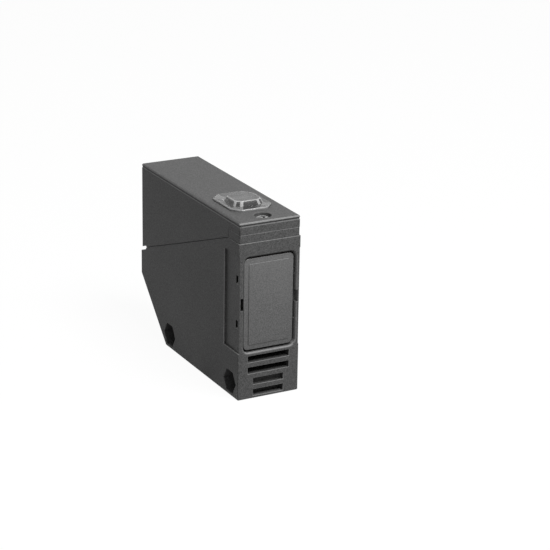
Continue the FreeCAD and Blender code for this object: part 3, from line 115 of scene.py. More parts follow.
# Side recesses, slots and nut pockets
RECESS_FOOT = 17.4
RECESS_LOW = 17.65
RECESS_HIGH = 53.5
RECESS_START = 1.0
RECESS_END = 11.2
RECESS_SINK = 0.6
SLOT_SIDE = 8.5
SLOT_DEPTH = 8.5
POCKET_LOW = 0.35
POCKET_HIGH = 11.0

# Hood: edges, skin that moves inwards, and the line under its top edge
HOOD_BEVEL = 0.4
HOOD_INSET = 0.25
SIDE_SKIN = 0.95
FRONT_SKIN = 0.9
CREST_DEPTH = 0.15
CORNER_REACH = 0.3
CORNER_DEPTH = 1.3
WELL_END = -30.5
SEAT_START = -30.0
SEAT_SIDE = 9.0
GROOVE_FOOT = 63.45
GROOVE_LOW = 63.8
GROOVE_HIGH = 64.3
GROOVE_DEPTH = 0.35
GROOVE_KEPT = 0.12
GROOVE_SKIN = 0.2

# Indicator cap
CAP_WIDTH = 16.0
CAP_LENGTH = 20.5
CAP_CORNER = 3.4
CAP_EDGE = 0.4
CAP_MARGIN = 1.6
CAP_Y = -18.5
CAP_LOW = 64.4
CAP_FLANGE = 1.4
BLOCK_WIDTH = 10.0
BLOCK_LENGTH = 9.4
BLOCK_Y = -19.7
BLOCK_HEIGHT = 1.7
BLOCK_DRAFT = 0.8
BLOCK_CORNER = 0.6
BLOCK_EDGE = 0.25
HOLLOW_WIDTH = 8.9
HOLLOW_LENGTH = 8.3
HOLLOW_DEPTH = 2.0

# Hood screw. The profile gives how far in from the head's radius and how far down
SCREW_Y = -34.0
SCREW_SEAT = 62.4
HEAD_RADIUS = 2.8
HEAD_PROFILE = ((0.5, 0.16), (0.12, 0.42), (0.0, 0.7))
SHANK_RADIUS = 1.5
SHANK_END = (0.3, 0.35)
CROWN_RADIUS = 1.8
CROWN_DROP = 0.05
CROSS_REACH = 1.45
CROSS_HALF = 0.4
CROSS_DEPTH = 1.0
CROSS_TAPER = 0.7

# Meshes
SHARP_ANGLE = math.radians(50)
RIM_ANGLE = math.radians(38)
FLAT_ANGLE = math.radians(0.5)
MERGE = 0.002
SLACK = 0.05
ROUND_EDGE = 2.0
WINDOW_STEPS = 8
PANE_STEPS = 4
ROUND_STEPS = 3
RIM_STEPS = 2
ORIGIN = (0, 0, 0)
AS_IS = (1, 1, 1)

# Face attribute of painted light: above 0 a painted highlight, below 0 painted shade where a deep
# place is dark
PAINTED_LIGHT_ATTRIBUTE = "painted_light"
HIGHLIGHT_LIFT = 2.9
PAINTED_SHADE = -1.0

# How strong the painted highlights are on the edges, corners, sides and plate of the clear cap
CORNER_HIGHLIGHT = 0.9
CROWN_HIGHLIGHT = 0.8
RIM_HIGHLIGHT = 0.7
SIDE_HIGHLIGHT = 0.4
PLATE_HIGHLIGHT = 0.3

# Grain of the moulded plastic
GRAIN_PITCH = 0.00038
GRAIN_HEIGHT = 0.00004
GRAIN_TURN = (0.5, 0.7, 0.3)
MOULDED_SPECULAR = 0.08

# Camera, worked out from the edges of the housing in the picture
IMAGE_SIZE = 550
FOCAL_PIXELS = 1978.75
SENSOR = 36.0
CAMERA_PLACE = (-0.30489, -0.60432, 0.27529)
CAMERA_RIGHT = (0.88123, -0.47239, 0.01677)
CAMERA_UP = (0.14575, 0.30531, 0.94103)
CAMERA_AHEAD = (0.44965, 0.82682, -0.3379)
CLIP_NEAR = 0.01
CLIP_FAR = 20.0

# Studio
KEY_PLACE = (0.15, -0.46, 0.78)
KEY_AIM = (0, 0, 0.03)
KEY_SIZE = 0.42
KEY_POWER = 9.6
ROOM_LIGHT = 0.24
FLOOR_SIZE = 6.0
FLOOR_DROP = 0.00002
FLOOR_SHADE = 0.38
FLOOR_SHARE = 0.95


# Materials

class Value:
    """A shader value. Sums, differences and products of it add their own Math nodes."""

    def __init__(self, nodes, socket):
        self.nodes = nodes
        self.socket = socket

    def _with(self, operation, *values):
        return self.nodes.node("ShaderNodeMath", {"operation": operation}, values)

    def __add__(self, other):
        return self._with("ADD", self, other)

    def __sub__(self, other):
        return self._with("SUBTRACT", self, other)

    def __mul__(self, other):
        return self._with("MULTIPLY", self, other)

    def __radd__(self, other):
        return self._with("ADD", other, self)

    def __rsub__(self, other):
        return self._with("SUBTRACT", other, self)

    def __rmul__(self, other):
        return self._with("MULTIPLY", other, self)

    def high(self, other):
        return self._with("MAXIMUM", self, other)

    def clipped(self):
        return self.nodes.node("ShaderNodeClamp", {}, [self])


class Nodes:
    """A shader node tree whose nodes all come from one method."""

    def __init__(self, tree):
        self.tree = tree

    def node(self, kind, settings, values, output=0):
        """Adds a node: its settings first, then a value or link for each input."""
        made = self.tree.nodes.new(kind)
        for name, setting in settings.items():
            if name == "stops":
                self._set_stops(made.color_ramp, setting)
            else:
                setattr(made, name, setting)
        named = values.items() if isinstance(values, dict) else enumerate(values)
        for key, value in named:
            self._feed(made.inputs[key], value)
        return Value(self, made.outputs[output]) if made.outputs else None

    def _feed(self, socket, value):
        if isinstance(value, Value):
            self.tree.links.new(value.socket, socket)
        else:
            socket.default_value = value

    @staticmethod
    def _set_stops(ramp, stops):
        for element, (position, shade) in zip(ramp.elements, stops):
            element.position = position
            element.color = (shade, shade, shade, 1)

    def seen(self):
        """1 where the camera, a reflection or a clear piece looks, and 0 for plain light."""
        camera, glossy, through = (self.node("ShaderNodeLightPath", {}, [], kind)
                                   for kind in ("Is Camera Ray", "Is Glossy Ray",
                                                "Is Transmission Ray"))
        return camera.high(glossy).high(through)


class Finish(Nodes):
    """A material with one Principled shader."""

    def __init__(self, name):
        self.material = bpy.data.materials.new(name)
        self.material.use_nodes = True
        super().__init__(self.material.node_tree)
        self.shader = self.tree.nodes["Principled BSDF"]
        self._place = None

    def place(self):
        """Object coordinates, in metres."""
        if self._place is None:
            self._place = self.node("ShaderNodeTexCoord", {}, [], "Object")
        return self._place

    def stretched(self, x, y, z):
        return self.node("ShaderNodeMapping", {}, {"Vector": self.place(), "Scale": (x, y, z)})

    def turned(self):
        """Object coordinates turned out of line with flat faces, so that grain looks even."""
        values = {"Vector": self.place(), "Rotation": GRAIN_TURN}
        return self.node("ShaderNodeMapping", {}, values)

    def noise(self, scale, detail, roughness, where=None):
        values = {"Vector": where or self.place(), "Scale": scale, "Detail": detail,
                  "Roughness": roughness}
        return self.node("ShaderNodeTexNoise", {}, values, "Fac")

    def weave(self, direction):
        """Bands across one axis, a little uneven."""
        values = {"Vector": self.place(), "Scale": 900.0, "Distortion": 0.4}
        return self.node("ShaderNodeTexWave", {"bands_direction": direction}, values, "Fac")

    def ramp(self, value, *stops):
        return self.node("ShaderNodeValToRGB", {"stops": stops}, [value])

    def painted_light(self):
        """How much painted highlight, above 0, or painted shade, below 0, each face carries."""
        return self.node("ShaderNodeAttribute", {"attribute_name": PAINTED_LIGHT_ATTRIBUTE}, [], "Fac")

    def blend(self, factor, first, second):
        """Colour between two colours."""
        values = {0: factor, 6: first, 7: second}
        return self.node("ShaderNodeMix", {"data_type": "RGBA"}, values, 2)

    def bump(self, height, strength, distance):
        values = {"Height": height, "Strength": strength, "Distance": distance}
        return self.node("ShaderNodeBump", {}, values)

    def set(self, **sockets):
        """Sets or links the shader's sockets, named with _ for a space."""
        for name, value in sockets.items():
            self._feed(self.shader.inputs[name.replace("_", " ")], value)


def grey(level, tint=(1.0, 1.0, 1.0)):
    return (level * tint[0], level * tint[1], level * tint[2], 1.0)


def shaded(colour, factor):
    """The colour made darker or lighter."""
    return tuple(min(1.0, part * factor) for part in colour[:3]) + (1.0,)


def moulded(name, colour, rough=0.5, grain=0.25, speckle=1.1):
    """Moulded plastic from a spark-eroded tool, with painted highlights on marked edges and
    painted shade where it is deep.
    """
    finish = Finish(name)
    turned = finish.turned()
    fine = finish.noise(1.0 / GRAIN_PITCH, 3.0, 0.7, turned)
    coarse = finish.noise(0.5 / GRAIN_PITCH, 1.0, 0.5, turned)
    mottle = finish.noise(55.0, 3.0, 0.55)
    speckles = (fine - 0.5) * speckle * 2.0 + (coarse - 0.5) * speckle * 0.4
    shade = speckles + (mottle - 0.5) * 0.1 + 0.5
    painted_light = finish.painted_light()
    # Painted highlight: faces marked above 0 are lifted towards a lighter colour and a lower
    # roughness.
    painted_highlight = (painted_light * (coarse * 0.8 + 0.6)).clipped()
    # Painted shade: faces marked below 0 are darkened almost to black.
    deep = (painted_light * -1.0).clipped()
    plain = finish.blend(shade.clipped(), shaded(colour, 0.45), shaded(colour, 1.55))
    bare = finish.blend(deep, plain, grey(0.004))
    finish.set(Base_Color=finish.blend(painted_highlight, bare, shaded(colour, HIGHLIGHT_LIFT)),
               Roughness=(mottle - 0.5) * 0.16 + (fine - 0.5) * 0.12 - painted_highlight * 0.1 + rough,
               Normal=finish.bump(fine * 0.6 + coarse * 0.4, grain, GRAIN_HEIGHT),
               Specular_IOR_Level=MOULDED_SPECULAR)
    return finish.material


def metal(name, colour, rough, turned=0.0):
    """Plated or turned metal with fine tool marks and a little uneven tarnish."""
    finish = Finish(name)
    cloud = finish.noise(900.0, 3.0, 0.6)
    marks = finish.noise(9000.0, 2.0, 0.5, finish.stretched(1.0, 1.0, 0.12))
    shade = cloud * 0.6 + marks * 0.4
    finish.set(Base_Color=finish.blend(shade.clipped(), shaded(colour, 0.72), colour),
               Metallic=1.0,
               Roughness=(cloud - 0.5) * 0.18 + rough,
               Normal=finish.bump(marks, 0.25 + turned, 0.00001))
    return finish.material


def laminate(name, colour):
    """Solder mask over woven glass, with the weave just visible."""
    finish = Finish(name)
    weave = finish.weave("Y").high(finish.weave("Z"))
    finish.set(Base_Color=finish.blend(weave, shaded(colour, 0.7), colour),
               Roughness=weave * 0.1 + 0.3,
               Normal=finish.bump(weave, 0.15, 0.00003))
    return finish.material


def rubber(name, colour):
    """Dull elastomer with a faint bloom."""
    finish = Finish(name)
    bloom = finish.noise(420.0, 3.0, 0.6)
    fine = finish.noise(5200.0, 2.0, 0.5)
    pale = finish.ramp(bloom, (0.35, 0.0), (0.8, 0.6))
    finish.set(Base_Color=finish.blend(pale, colour, shaded(colour, 1.9)),
               Roughness=bloom * 0.15 + 0.68,
               Normal=finish.bump(fine, 0.2, 0.00003))
    return finish.material


def filter_plastic(name, low, high):
    """Satin infrared filter of the front window, with painted light that makes it a little lighter
    towards its top.
    """
    finish = Finish(name)
    fine = finish.noise(2400.0, 2.0, 0.6)
    mottle = finish.noise(70.0, 2.0, 0.5)
    height = finish.node("ShaderNodeSeparateXYZ", {}, [finish.place()], "Z")
    # Painted light: the filter is made lighter towards its top and darker towards its bottom.
    painted_top_light = (height - WINDOW_MIDDLE * MM) * 12.0
    shade = (fine - 0.5) * 1.6 + (mottle - 0.5) * 0.2 + painted_top_light + 0.5
    finish.set(Base_Color=finish.blend(shade.clipped(), low, high),
               Roughness=(mottle - 0.5) * 0.12 + 0.42,
               Normal=finish.bump(fine, 0.22, 0.00003),
               Specular_IOR_Level=0.5)
    return finish.material


def clear_plastic(name, tint, rough, alpha, haze=0.22, through=0.0):
    """Clear moulding with a light haze and fine scuffs, and painted highlights on marked edges."""
    finish = Finish(name)
    cloud = finish.noise(260.0, 3.0, 0.55)
    scuffs = finish.noise(1500.0, 2.0, 0.5, finish.stretched(0.25, 1.0, 1.0))
    lit = finish.painted_light()
    body = finish.blend(cloud, tint, shaded(tint, 1.2))
    # Painted highlight: marked faces turn towards pale grey and a higher roughness.
    finish.set(Base_Color=finish.blend(lit.clipped(), body, grey(0.9)),
               Roughness=cloud * 0.10 + lit * 0.2 + rough,
               Normal=finish.bump(cloud * 0.7 + scuffs * 0.3, 0.10, 0.00008),
               Alpha=(cloud - 0.5) * haze + alpha,
               Transmission_Weight=through,
               IOR=1.49)
    return finish.material


def lens_glass(name, colour):
    """Clear glass with a faint cool haze."""
    finish = Finish(name)
    haze = finish.noise(800.0, 2.0, 0.5)
    finish.set(Base_Color=finish.blend(haze, grey(0.85, (1.0, 1.02, 1.05)), colour),
               Roughness=haze * 0.03 + 0.02,
               Transmission_Weight=0.9,
               IOR=1.52)
    return finish.material


def make_materials():
    """One finish for each material slot of the record."""
    table = {
        "housing_plastic": (moulded, grey(0.085), {}),
        "hood_plastic": (moulded, grey(0.085), {}),
        "seal_rubber": (rubber, grey(0.022), {}),
        "screw_steel": (metal, grey(0.42), {"rough": 0.2, "turned": 0.2}),
        "turned_brass": (metal, (0.60, 0.42, 0.16, 1.0), {"rough": 0.3, "turned": 0.3}),
        "clear_cap": (clear_plastic, grey(0.09),
                      {"rough": 0.02, "alpha": 0.8, "haze": 0.08, "through": 0.5}),
        "filter_plastic": (filter_plastic, grey(0.042), {"high": grey(0.152)}),
        "lens_glass": (lens_glass, grey(0.95), {}),
        "optics_black": (moulded, grey(0.02), {"grain": 0.4}),
        "led_epoxy": (clear_plastic, (0.16, 0.19, 0.32, 1.0), {"rough": 0.05, "alpha": 0.85}),
        "lamp_green": (clear_plastic, (0.12, 0.42, 0.16, 1.0), {"rough": 0.1, "alpha": 0.9}),
        "board_laminate": (laminate, (0.02, 0.16, 0.06, 1.0), {}),
        "tinned_pins": (metal, grey(0.62), {"rough": 0.25}),
        "ferrite": (moulded, grey(0.05), {"rough": 0.45, "grain": 0.7, "speckle": 0.2}),
        "winding_tape": (moulded, (0.52, 0.36, 0.05, 1.0),
                         {"rough": 0.3, "grain": 0.15, "speckle": 0.05}),
        "can_sleeve": (moulded, (0.02, 0.025, 0.06, 1.0),
                       {"rough": 0.3, "grain": 0.1, "speckle": 0.05}),
        "varistor_coat": (moulded, (0.02, 0.08, 0.32, 1.0), {"rough": 0.32, "speckle": 0.1}),
        "chip_black": (moulded, grey(0.018), {"grain": 0.5}),
        "header_black": (moulded, grey(0.02), {"rough": 0.45, "grain": 0.3}),
        "deck_plastic": (moulded, grey(0.13), {"grain": 0.5}),
        "terminal_plastic": (moulded, grey(0.24), {"rough": 0.45, "grain": 0.3, "speckle": 0.06}),
        "clamp_steel": (metal, (0.58, 0.56, 0.5, 1.0), {"rough": 0.32}),
        "pipe_clear": (clear_plastic, grey(0.75), {"rough": 0.04, "alpha": 0.5}),
        "gland_plastic": (moulded, grey(0.05), {"grain": 0.35}),
    }
    return {name: make(name, colour, **looks) for name, (make, colour, looks) in table.items()}


# Tests that pick points, faces and edges

ALL = (-math.inf, math.inf)


def upto(limit):
    return (-math.inf, limit)


def above(limit):
    return (limit, math.inf)


def at(value, slack=0.02):
    return (value - slack, value + slack)


def behind(end, start=-math.inf):
    """Range of depth behind the front face."""
    return (Y_FRONT + start, Y_FRONT + end)


def zone(x=ALL, y=ALL, z=ALL, out=ALL, along=ALL):
    """Test of vectors by open ranges, where out is the size of x and along the size of y."""
    def test(spot):
        pairs = ((x, spot.x), (y, spot.y), (z, spot.z), (out, abs(spot.x)), (along, abs(spot.y)))
        return all(low < value < high for (low, high), value in pairs)
    return test


def either(*tests):
    return lambda spot: any(test(spot) for test in tests)


def every(*tests):
    return lambda spot: all(test(spot) for test in tests)


def outer(z):
    """Test of points at some height, close to the front face or to a side."""
    return either(zone(out=above(HALF_WIDTH - OUTER), z=z), zone(y=behind(OUTER), z=z))


def rind(z):
    """Test of points at some height, close to any upright wall."""
    return either(zone(out=above(HALF_WIDTH - RIND), z=z),
                  zone(along=above(HALF_DEPTH - RIND), z=z))


def at_latches(**ranges):
    """Test of points at the height of a latch opening."""
    low = LATCH_HEIGHT + LATCH_BELOW
    return either(*(zone(z=(top - low, top + LATCH_ABOVE), **ranges) for top in LATCH_TOPS))


# Pieces

def piece_from(form, name, material, *nodes):
    """Turns a bmesh drawn in millimetres into a piece that stands for CAD nodes."""
    bmesh.ops.transform(form, matrix=Matrix.Scale(MM, 4), verts=form.verts)
    bmesh.ops.recalc_face_normals(form, faces=form.faces)
    finished(form, name, material, *nodes)


def finished(form, name, material, *nodes):
    """Puts a bmesh drawn in metres in the scene as a shaded piece that stands for CAD nodes."""
    smooth_by_angle(form)
    mesh = bpy.data.meshes.new(name)
    form.to_mesh(mesh)
    form.free()
    mesh.materials.append(material)
    piece = bpy.data.objects.new(name, mesh)
    bpy.context.scene.collection.objects.link(piece)
    even = piece.modifiers.new("even shading", "WEIGHTED_NORMAL")
    even.keep_sharp = True
    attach(piece, "root")
    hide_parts(*nodes)


def smooth_by_angle(form):
    """Smooth faces, with sharp edges where two faces turn by more than the angle."""
    form.normal_update()
    for face in form.faces:
        face.smooth = True
        face.material_index = 0
    for edge in form.edges:
        edge.smooth = len(edge.link_faces) == 2 and edge.calc_face_angle(0.0) < SHARP_ANGLE


def block(form, size, middle):
    """Adds a rectangular block."""
    made = bmesh.ops.create_cube(form, size=1.0)["verts"]
    bmesh.ops.scale(form, vec=size, verts=made)
    bmesh.ops.translate(form, vec=middle, verts=made)


def bevel(form, edges, width, segments):
    """Bevels edges and returns the new faces."""
    return bmesh.ops.bevel(form, geom=edges, offset=width, offset_type="OFFSET",
                           segments=segments, profile=0.5, affect="EDGES",
                           clamp_overlap=False, material=-1)["faces"]


def marked(faces, layer, amount):
    for face in faces:
        face[layer] = amount


def edges_along(form, axis):
    """Edges that run along one axis, 0, 1 or 2."""
    found = []
    for edge in form.edges:
        run = edge.verts[1].co - edge.verts[0].co
        if abs(run[axis]) > 0.999 * run.length:
            found.append(edge)
    return found


def face_towards(form, direction):
    """The face that lies furthest out in a direction."""
    way = Vector(direction)
    return max(form.faces, key=lambda face: face.calc_center_median().dot(way)
               + face.normal.dot(way))


def inset(form, face, width):
    bmesh.ops.inset_region(form, faces=[face], thickness=width, use_even_offset=True)


def raised(form, face, height):
    """Extrudes a face along its normal and returns it."""
    normal = face.normal.copy()
    made = bmesh.ops.extrude_discrete_faces(form, faces=[face])["faces"][0]
    bmesh.ops.translate(form, vec=normal * height, verts=made.verts)
    return made


def fit_face(form, face, width, length, middle_y):
    """Stretches a level face to a width and length and moves its middle along the housing."""
    wide = max(v.co.x for v in face.verts) - min(v.co.x for v in face.verts)
    long = max(v.co.y for v in face.verts) - min(v.co.y for v in face.verts)
    middle = face.calc_center_bounds()
    bmesh.ops.scale(form, vec=(width / wide, length / long, 1.0), verts=face.verts,
                    space=Matrix.Translation(-middle))
    bmesh.ops.translate(form, vec=(0, middle_y - middle.y, 0), verts=face.verts)


def broken_edges(node, name, material, rims, marks=(), shifts=(), longest=math.inf):
    """Copy of a CAD node with rounded rims.

    A rim is a list of tests, of which one holds for both ends of an edge, a width, a count of
    segments and an amount of painted highlight on its bevel. A mark is a test of the middle of
    faces, one of their normal and an amount of painted light: a painted highlight above 0 and
    painted shade below 0. A shift is a test of points, a move, factors and the point that the
    factors keep.
    """
    form = bmesh.new()
    form.from_mesh(bpy.data.objects[node].data)
    layer = form.faces.layers.float.new(PAINTED_LIGHT_ATTRIBUTE)
    bmesh.ops.remove_doubles(form, verts=form.verts, dist=MERGE * MM)
    bmesh.ops.dissolve_limit(form, angle_limit=FLAT_ANGLE, verts=form.verts, edges=form.edges,
                             use_dissolve_boundaries=False)
    for wanted, way, factors, kept in shifts:
        moved = [vert for vert in form.verts if wanted(vert.co / MM)]
        bmesh.ops.scale(form, vec=factors, verts=moved,
                        space=Matrix.Translation(-Vector(kept) * MM))
        bmesh.ops.translate(form, vec=Vector(way) * MM, verts=moved)
    for tests, width, segments, amount in rims:
        edges = [edge for edge in form.edges if is_rim(edge, tests, longest)]
        # The faces of each bevel get the rim's painted highlight.
        marked(bevel(form, edges, width * MM, segments), layer, amount)
    # Faces that pass a mark get its painted highlight or painted shade.
    for wanted, facing, amount in marks:
        marked([face for face in form.faces
                if wanted(face.calc_center_median() / MM) and facing(face.normal)], layer, amount)
    finished(form, name, material, node)


def is_rim(edge, tests, longest):
    """True for a sharp outer edge with both ends in one of the tests."""
    if len(edge.link_faces) != 2 or edge.calc_face_angle(0.0) < RIM_ANGLE or not edge.is_convex:
        return False
    ends = [vert.co / MM for vert in edge.verts]
    if (ends[0] - ends[1]).length >= longest:
        return False
    return any(test(ends[0]) and test(ends[1]) for test in tests)


def lower_body(material):
    """Lower body with its rims broken as a mould leaves them, and painted highlights and painted
    shade on its faces.
    """
    flat_front = {"out": upto(HALF_WIDTH - UPRIGHT_EDGE), "y": at(Y_FRONT)}
    slots = zone(**flat_front, z=upto(OPENING_LOW))
    lip = zone(**flat_front, z=(OPENING_LOW, RECESS_HIGH))
    pockets = zone(out=at(HALF_WIDTH), z=(POCKET_LOW, POCKET_HIGH))
    recess = zone(out=at(HALF_WIDTH), y=behind(RECESS_END, RECESS_START),
                  z=(RECESS_FOOT, RECESS_HIGH))
    sill = zone(out=above(HALF_WIDTH - RECESS_SINK), y=behind(RECESS_END), z=at(RECESS_LOW))
    # The last number of each rim is the painted highlight on its bevel.
    rims = [([slots], 0.14, RIM_STEPS, 0.65),
            ([lip], 0.16, RIM_STEPS, 0.2),
            ([pockets], 0.16, RIM_STEPS, 0.2),
            ([recess, sill], 0.22, RIM_STEPS, 1.0),
            ([zone(z=at(KNEE))], 0.2, RIM_STEPS, 0.5),
            ([outer(at(COLLAR_TOP))], 0.12, RIM_STEPS, 0.8)]
    left_lip = zone(x=(-LIP_OUTER, -LIP_KEPT), y=behind(LIP_DEPTH),
                    z=at(WINDOW_MIDDLE, WINDOW_HEIGHT / 2 + OPENING_RIM))
    shifts = [(left_lip, ORIGIN, (LIP_SHARE, 1, 1), (-LIP_KEPT, 0, 0))]
    for side, wall in ((-1, upto(-LATCH_INNER)), (1, above(LATCH_INNER))):
        shifts.append((at_latches(x=wall, y=at(Y_FRONT + LATCH_SETBACK)),
                       (side * LATCH_SLIDE, -LATCH_WIDEN, 0), AS_IS, ORIGIN))
    marks = opening_marks() + latch_marks()
    broken_edges("base_housing", "lower_body", material, rims, marks, shifts)


def opening_marks():
    """Painted highlights and painted shade on faces of the slots and of the window opening with
    its notches.
    """
    wall = HALF_WIDTH - OPENING_WALL
    floor = HALF_WIDTH - NOTCH_REACH
    notch = {"y": behind(NOTCH_END, NOTCH_START), "z": (NOTCH_LOW - SLACK, NOTCH_HIGH + SLACK)}
    sill = zone(x=above(HALF_WIDTH - SILL_REACH), y=behind(0.3),
                z=(NOTCH_LOW - 0.25, NOTCH_LOW + 0.03))
    right_wall = zone(x=(WALL_INNER, wall), y=behind(WALL_DEPTH),
                      z=at(WINDOW_MIDDLE, WINDOW_HEIGHT / 2))
    low_lip = zone(y=behind(0.5), z=at(WINDOW_LOW, 1.0))
    slot_inside = zone(out=upto(SLOT_SIDE), y=behind(SLOT_DEPTH, 0.3), z=(1.0, OPENING_LOW))
    # Painted highlight on the low lip, painted shade in the slots and notches, painted highlight
    # on the notch sill and on the shaded right wall.
    return [(low_lip, zone(y=upto(-0.5), z=above(0.5)), 0.8),
            (slot_inside, zone(), -0.4),
            (zone(x=(-wall, -floor), **notch), zone(), PAINTED_SHADE),
            (zone(x=(floor, wall), **notch), zone(z=upto(-0.3)), PAINTED_SHADE),
            (sill, zone(z=above(0.3)), 1.0),
            (right_wall, zone(x=upto(-0.5)), 0.6)]


def latch_marks():
    """Painted shade on the walls, and painted highlights on the ramp and foot, of the latch
    openings.
    """
    feet = [zone(out=above(LATCH_INNER), y=behind(LIP_DEPTH), z=at(top - LATCH_HEIGHT, 0.3))
            for top in LATCH_TOPS]
    walls = at_latches(out=above(LATCH_INNER), y=behind(LATCH_END, LATCH_START))
    ramps = at_latches(out=above(HALF_WIDTH - RAMP_REACH), y=behind(LIP_DEPTH, LATCH_START))
    return [(walls, zone(out=upto(0.5)), PAINTED_SHADE),
            (ramps, zone(out=above(0.3), z=above(0.3)), 1.0),
            (either(*feet), zone(z=above(0.5)), 1.0)]


def hood_shell(material):
    """Hood with a soft top edge, screw well and window seat, and the line under its edge."""
    bevel_foot = TOP - HOOD_BEVEL
    skin = HALF_WIDTH - SIDE_SKIN
    # The last number of each rim is the painted highlight on its bevel.
    rims = [([zone(y=upto(WELL_END), z=at(TOP))], 0.22, ROUND_STEPS, 0.2),
            ([zone(out=upto(SEAT_SIDE), y=above(SEAT_START), z=at(TOP))], 0.12, RIM_STEPS, 0.2),
            ([either(outer(at(TOP)), outer(at(bevel_foot)))], 0.12, RIM_STEPS, 0.75),
            ([outer(at(COLLAR_TOP))], 0.08, RIM_STEPS, 0.2)]
    crest = above(bevel_foot - CREST_DEPTH)
    side_crest = zone(out=above(skin), y=above(Y_FRONT + OUTER), z=crest)
    corner_glint = zone(x=upto(CORNER_REACH - skin), y=behind(CORNER_DEPTH), z=crest)
    # Painted highlights on the top edge, the side crests, the front left corner and the lower lip
    # of the groove; painted shade in the groove.
    marks = [(outer(above(bevel_foot)), zone(z=(0.3, 0.95)), 0.75),
             (side_crest, zone(z=(0.05, 0.999)), 0.2),
             (corner_glint, zone(), 1.0),
             (rind((GROOVE_FOOT, GROOVE_LOW)), zone(z=above(0.1)), 0.6),
             (rind((GROOVE_LOW, GROOVE_HIGH)), zone(z=at(0, 0.1)), -0.35)]
    shallow = [(half - GROOVE_KEPT) / (half - GROOVE_DEPTH) for half in (HALF_WIDTH, HALF_DEPTH)]
    inside = zone(out=upto(HALF_WIDTH - GROOVE_SKIN), along=upto(HALF_DEPTH - GROOVE_SKIN))
    groove = every(inside, rind((GROOVE_LOW - SLACK, GROOVE_HIGH + SLACK)))
    shifts = [(groove, ORIGIN, (*shallow, 1), ORIGIN),
              (zone(y=behind(FRONT_SKIN)), (0, HOOD_INSET, 0), AS_IS, ORIGIN),
              (zone(x=above(skin)), (-HOOD_INSET, 0, 0), AS_IS, ORIGIN),
              (zone(x=upto(-skin)), (HOOD_INSET, 0, 0), AS_IS, ORIGIN)]
    broken_edges("hood", "hood_shell", material, rims, marks, shifts)


def entry_sleeve(material):
    """Pressure sleeve of the cable entry with its round edges broken and a faint painted highlight
    on them.
    """
    broken_edges("gland_sleeve", "entry_sleeve", material,
                 [([zone()], 0.25, RIM_STEPS, 0.2)], longest=ROUND_EDGE)


def window_panel(material):
    """Filter plate with a soft edge, the raised pane and its latch nibs."""
    form = bmesh.new()
    block(form, (WINDOW_WIDTH, WINDOW_BACK - WINDOW_FACE, WINDOW_HEIGHT),
          (0, (WINDOW_BACK + WINDOW_FACE) / 2, WINDOW_MIDDLE))
    bevel(form, edges_along(form, 1), WINDOW_CORNER, WINDOW_STEPS)
    bevel(form, list(face_towards(form, (0, -1, 0)).edges), PLATE_EDGE, ROUND_STEPS)
    raised_pane(form)
    nib_front = Y_FRONT + LATCH_SETBACK + LATCH_GAP
    inner = WINDOW_WIDTH / 2 - WINDOW_CORNER
    for top in LATCH_TOPS:
        for side in (-1, 1):
            block(form,
                  (LATCH_REACH - inner, WINDOW_BACK - nib_front, LATCH_HEIGHT - 2 * LATCH_GAP),
                  (side * (inner + LATCH_REACH) / 2, (nib_front + WINDOW_BACK) / 2,
                   top - LATCH_HEIGHT / 2))
    piece_from(form, "window_panel", material, "front_window")


def raised_pane(form):
    """Adds the pane that stands proud of the plate, with sloping sides."""
    pane = bmesh.new()
    root, face = WINDOW_FACE + PANE_ROOT, WINDOW_FACE - PANE_RISE
    block(pane, (WINDOW_WIDTH - 2 * PANE_MARGIN, root - face, WINDOW_HEIGHT - 2 * PANE_MARGIN),
          (0, (root + face) / 2, WINDOW_MIDDLE))
    bevel(pane, edges_along(pane, 1), PANE_CORNER, PANE_STEPS)
    bevel(pane, list(face_towards(pane, (0, -1, 0)).edges), PANE_SLOPE, ROUND_STEPS)
    mesh = bpy.data.meshes.new("pane")
    pane.to_mesh(mesh)
    pane.free()
    form.from_mesh(mesh)
    bpy.data.meshes.remove(mesh)


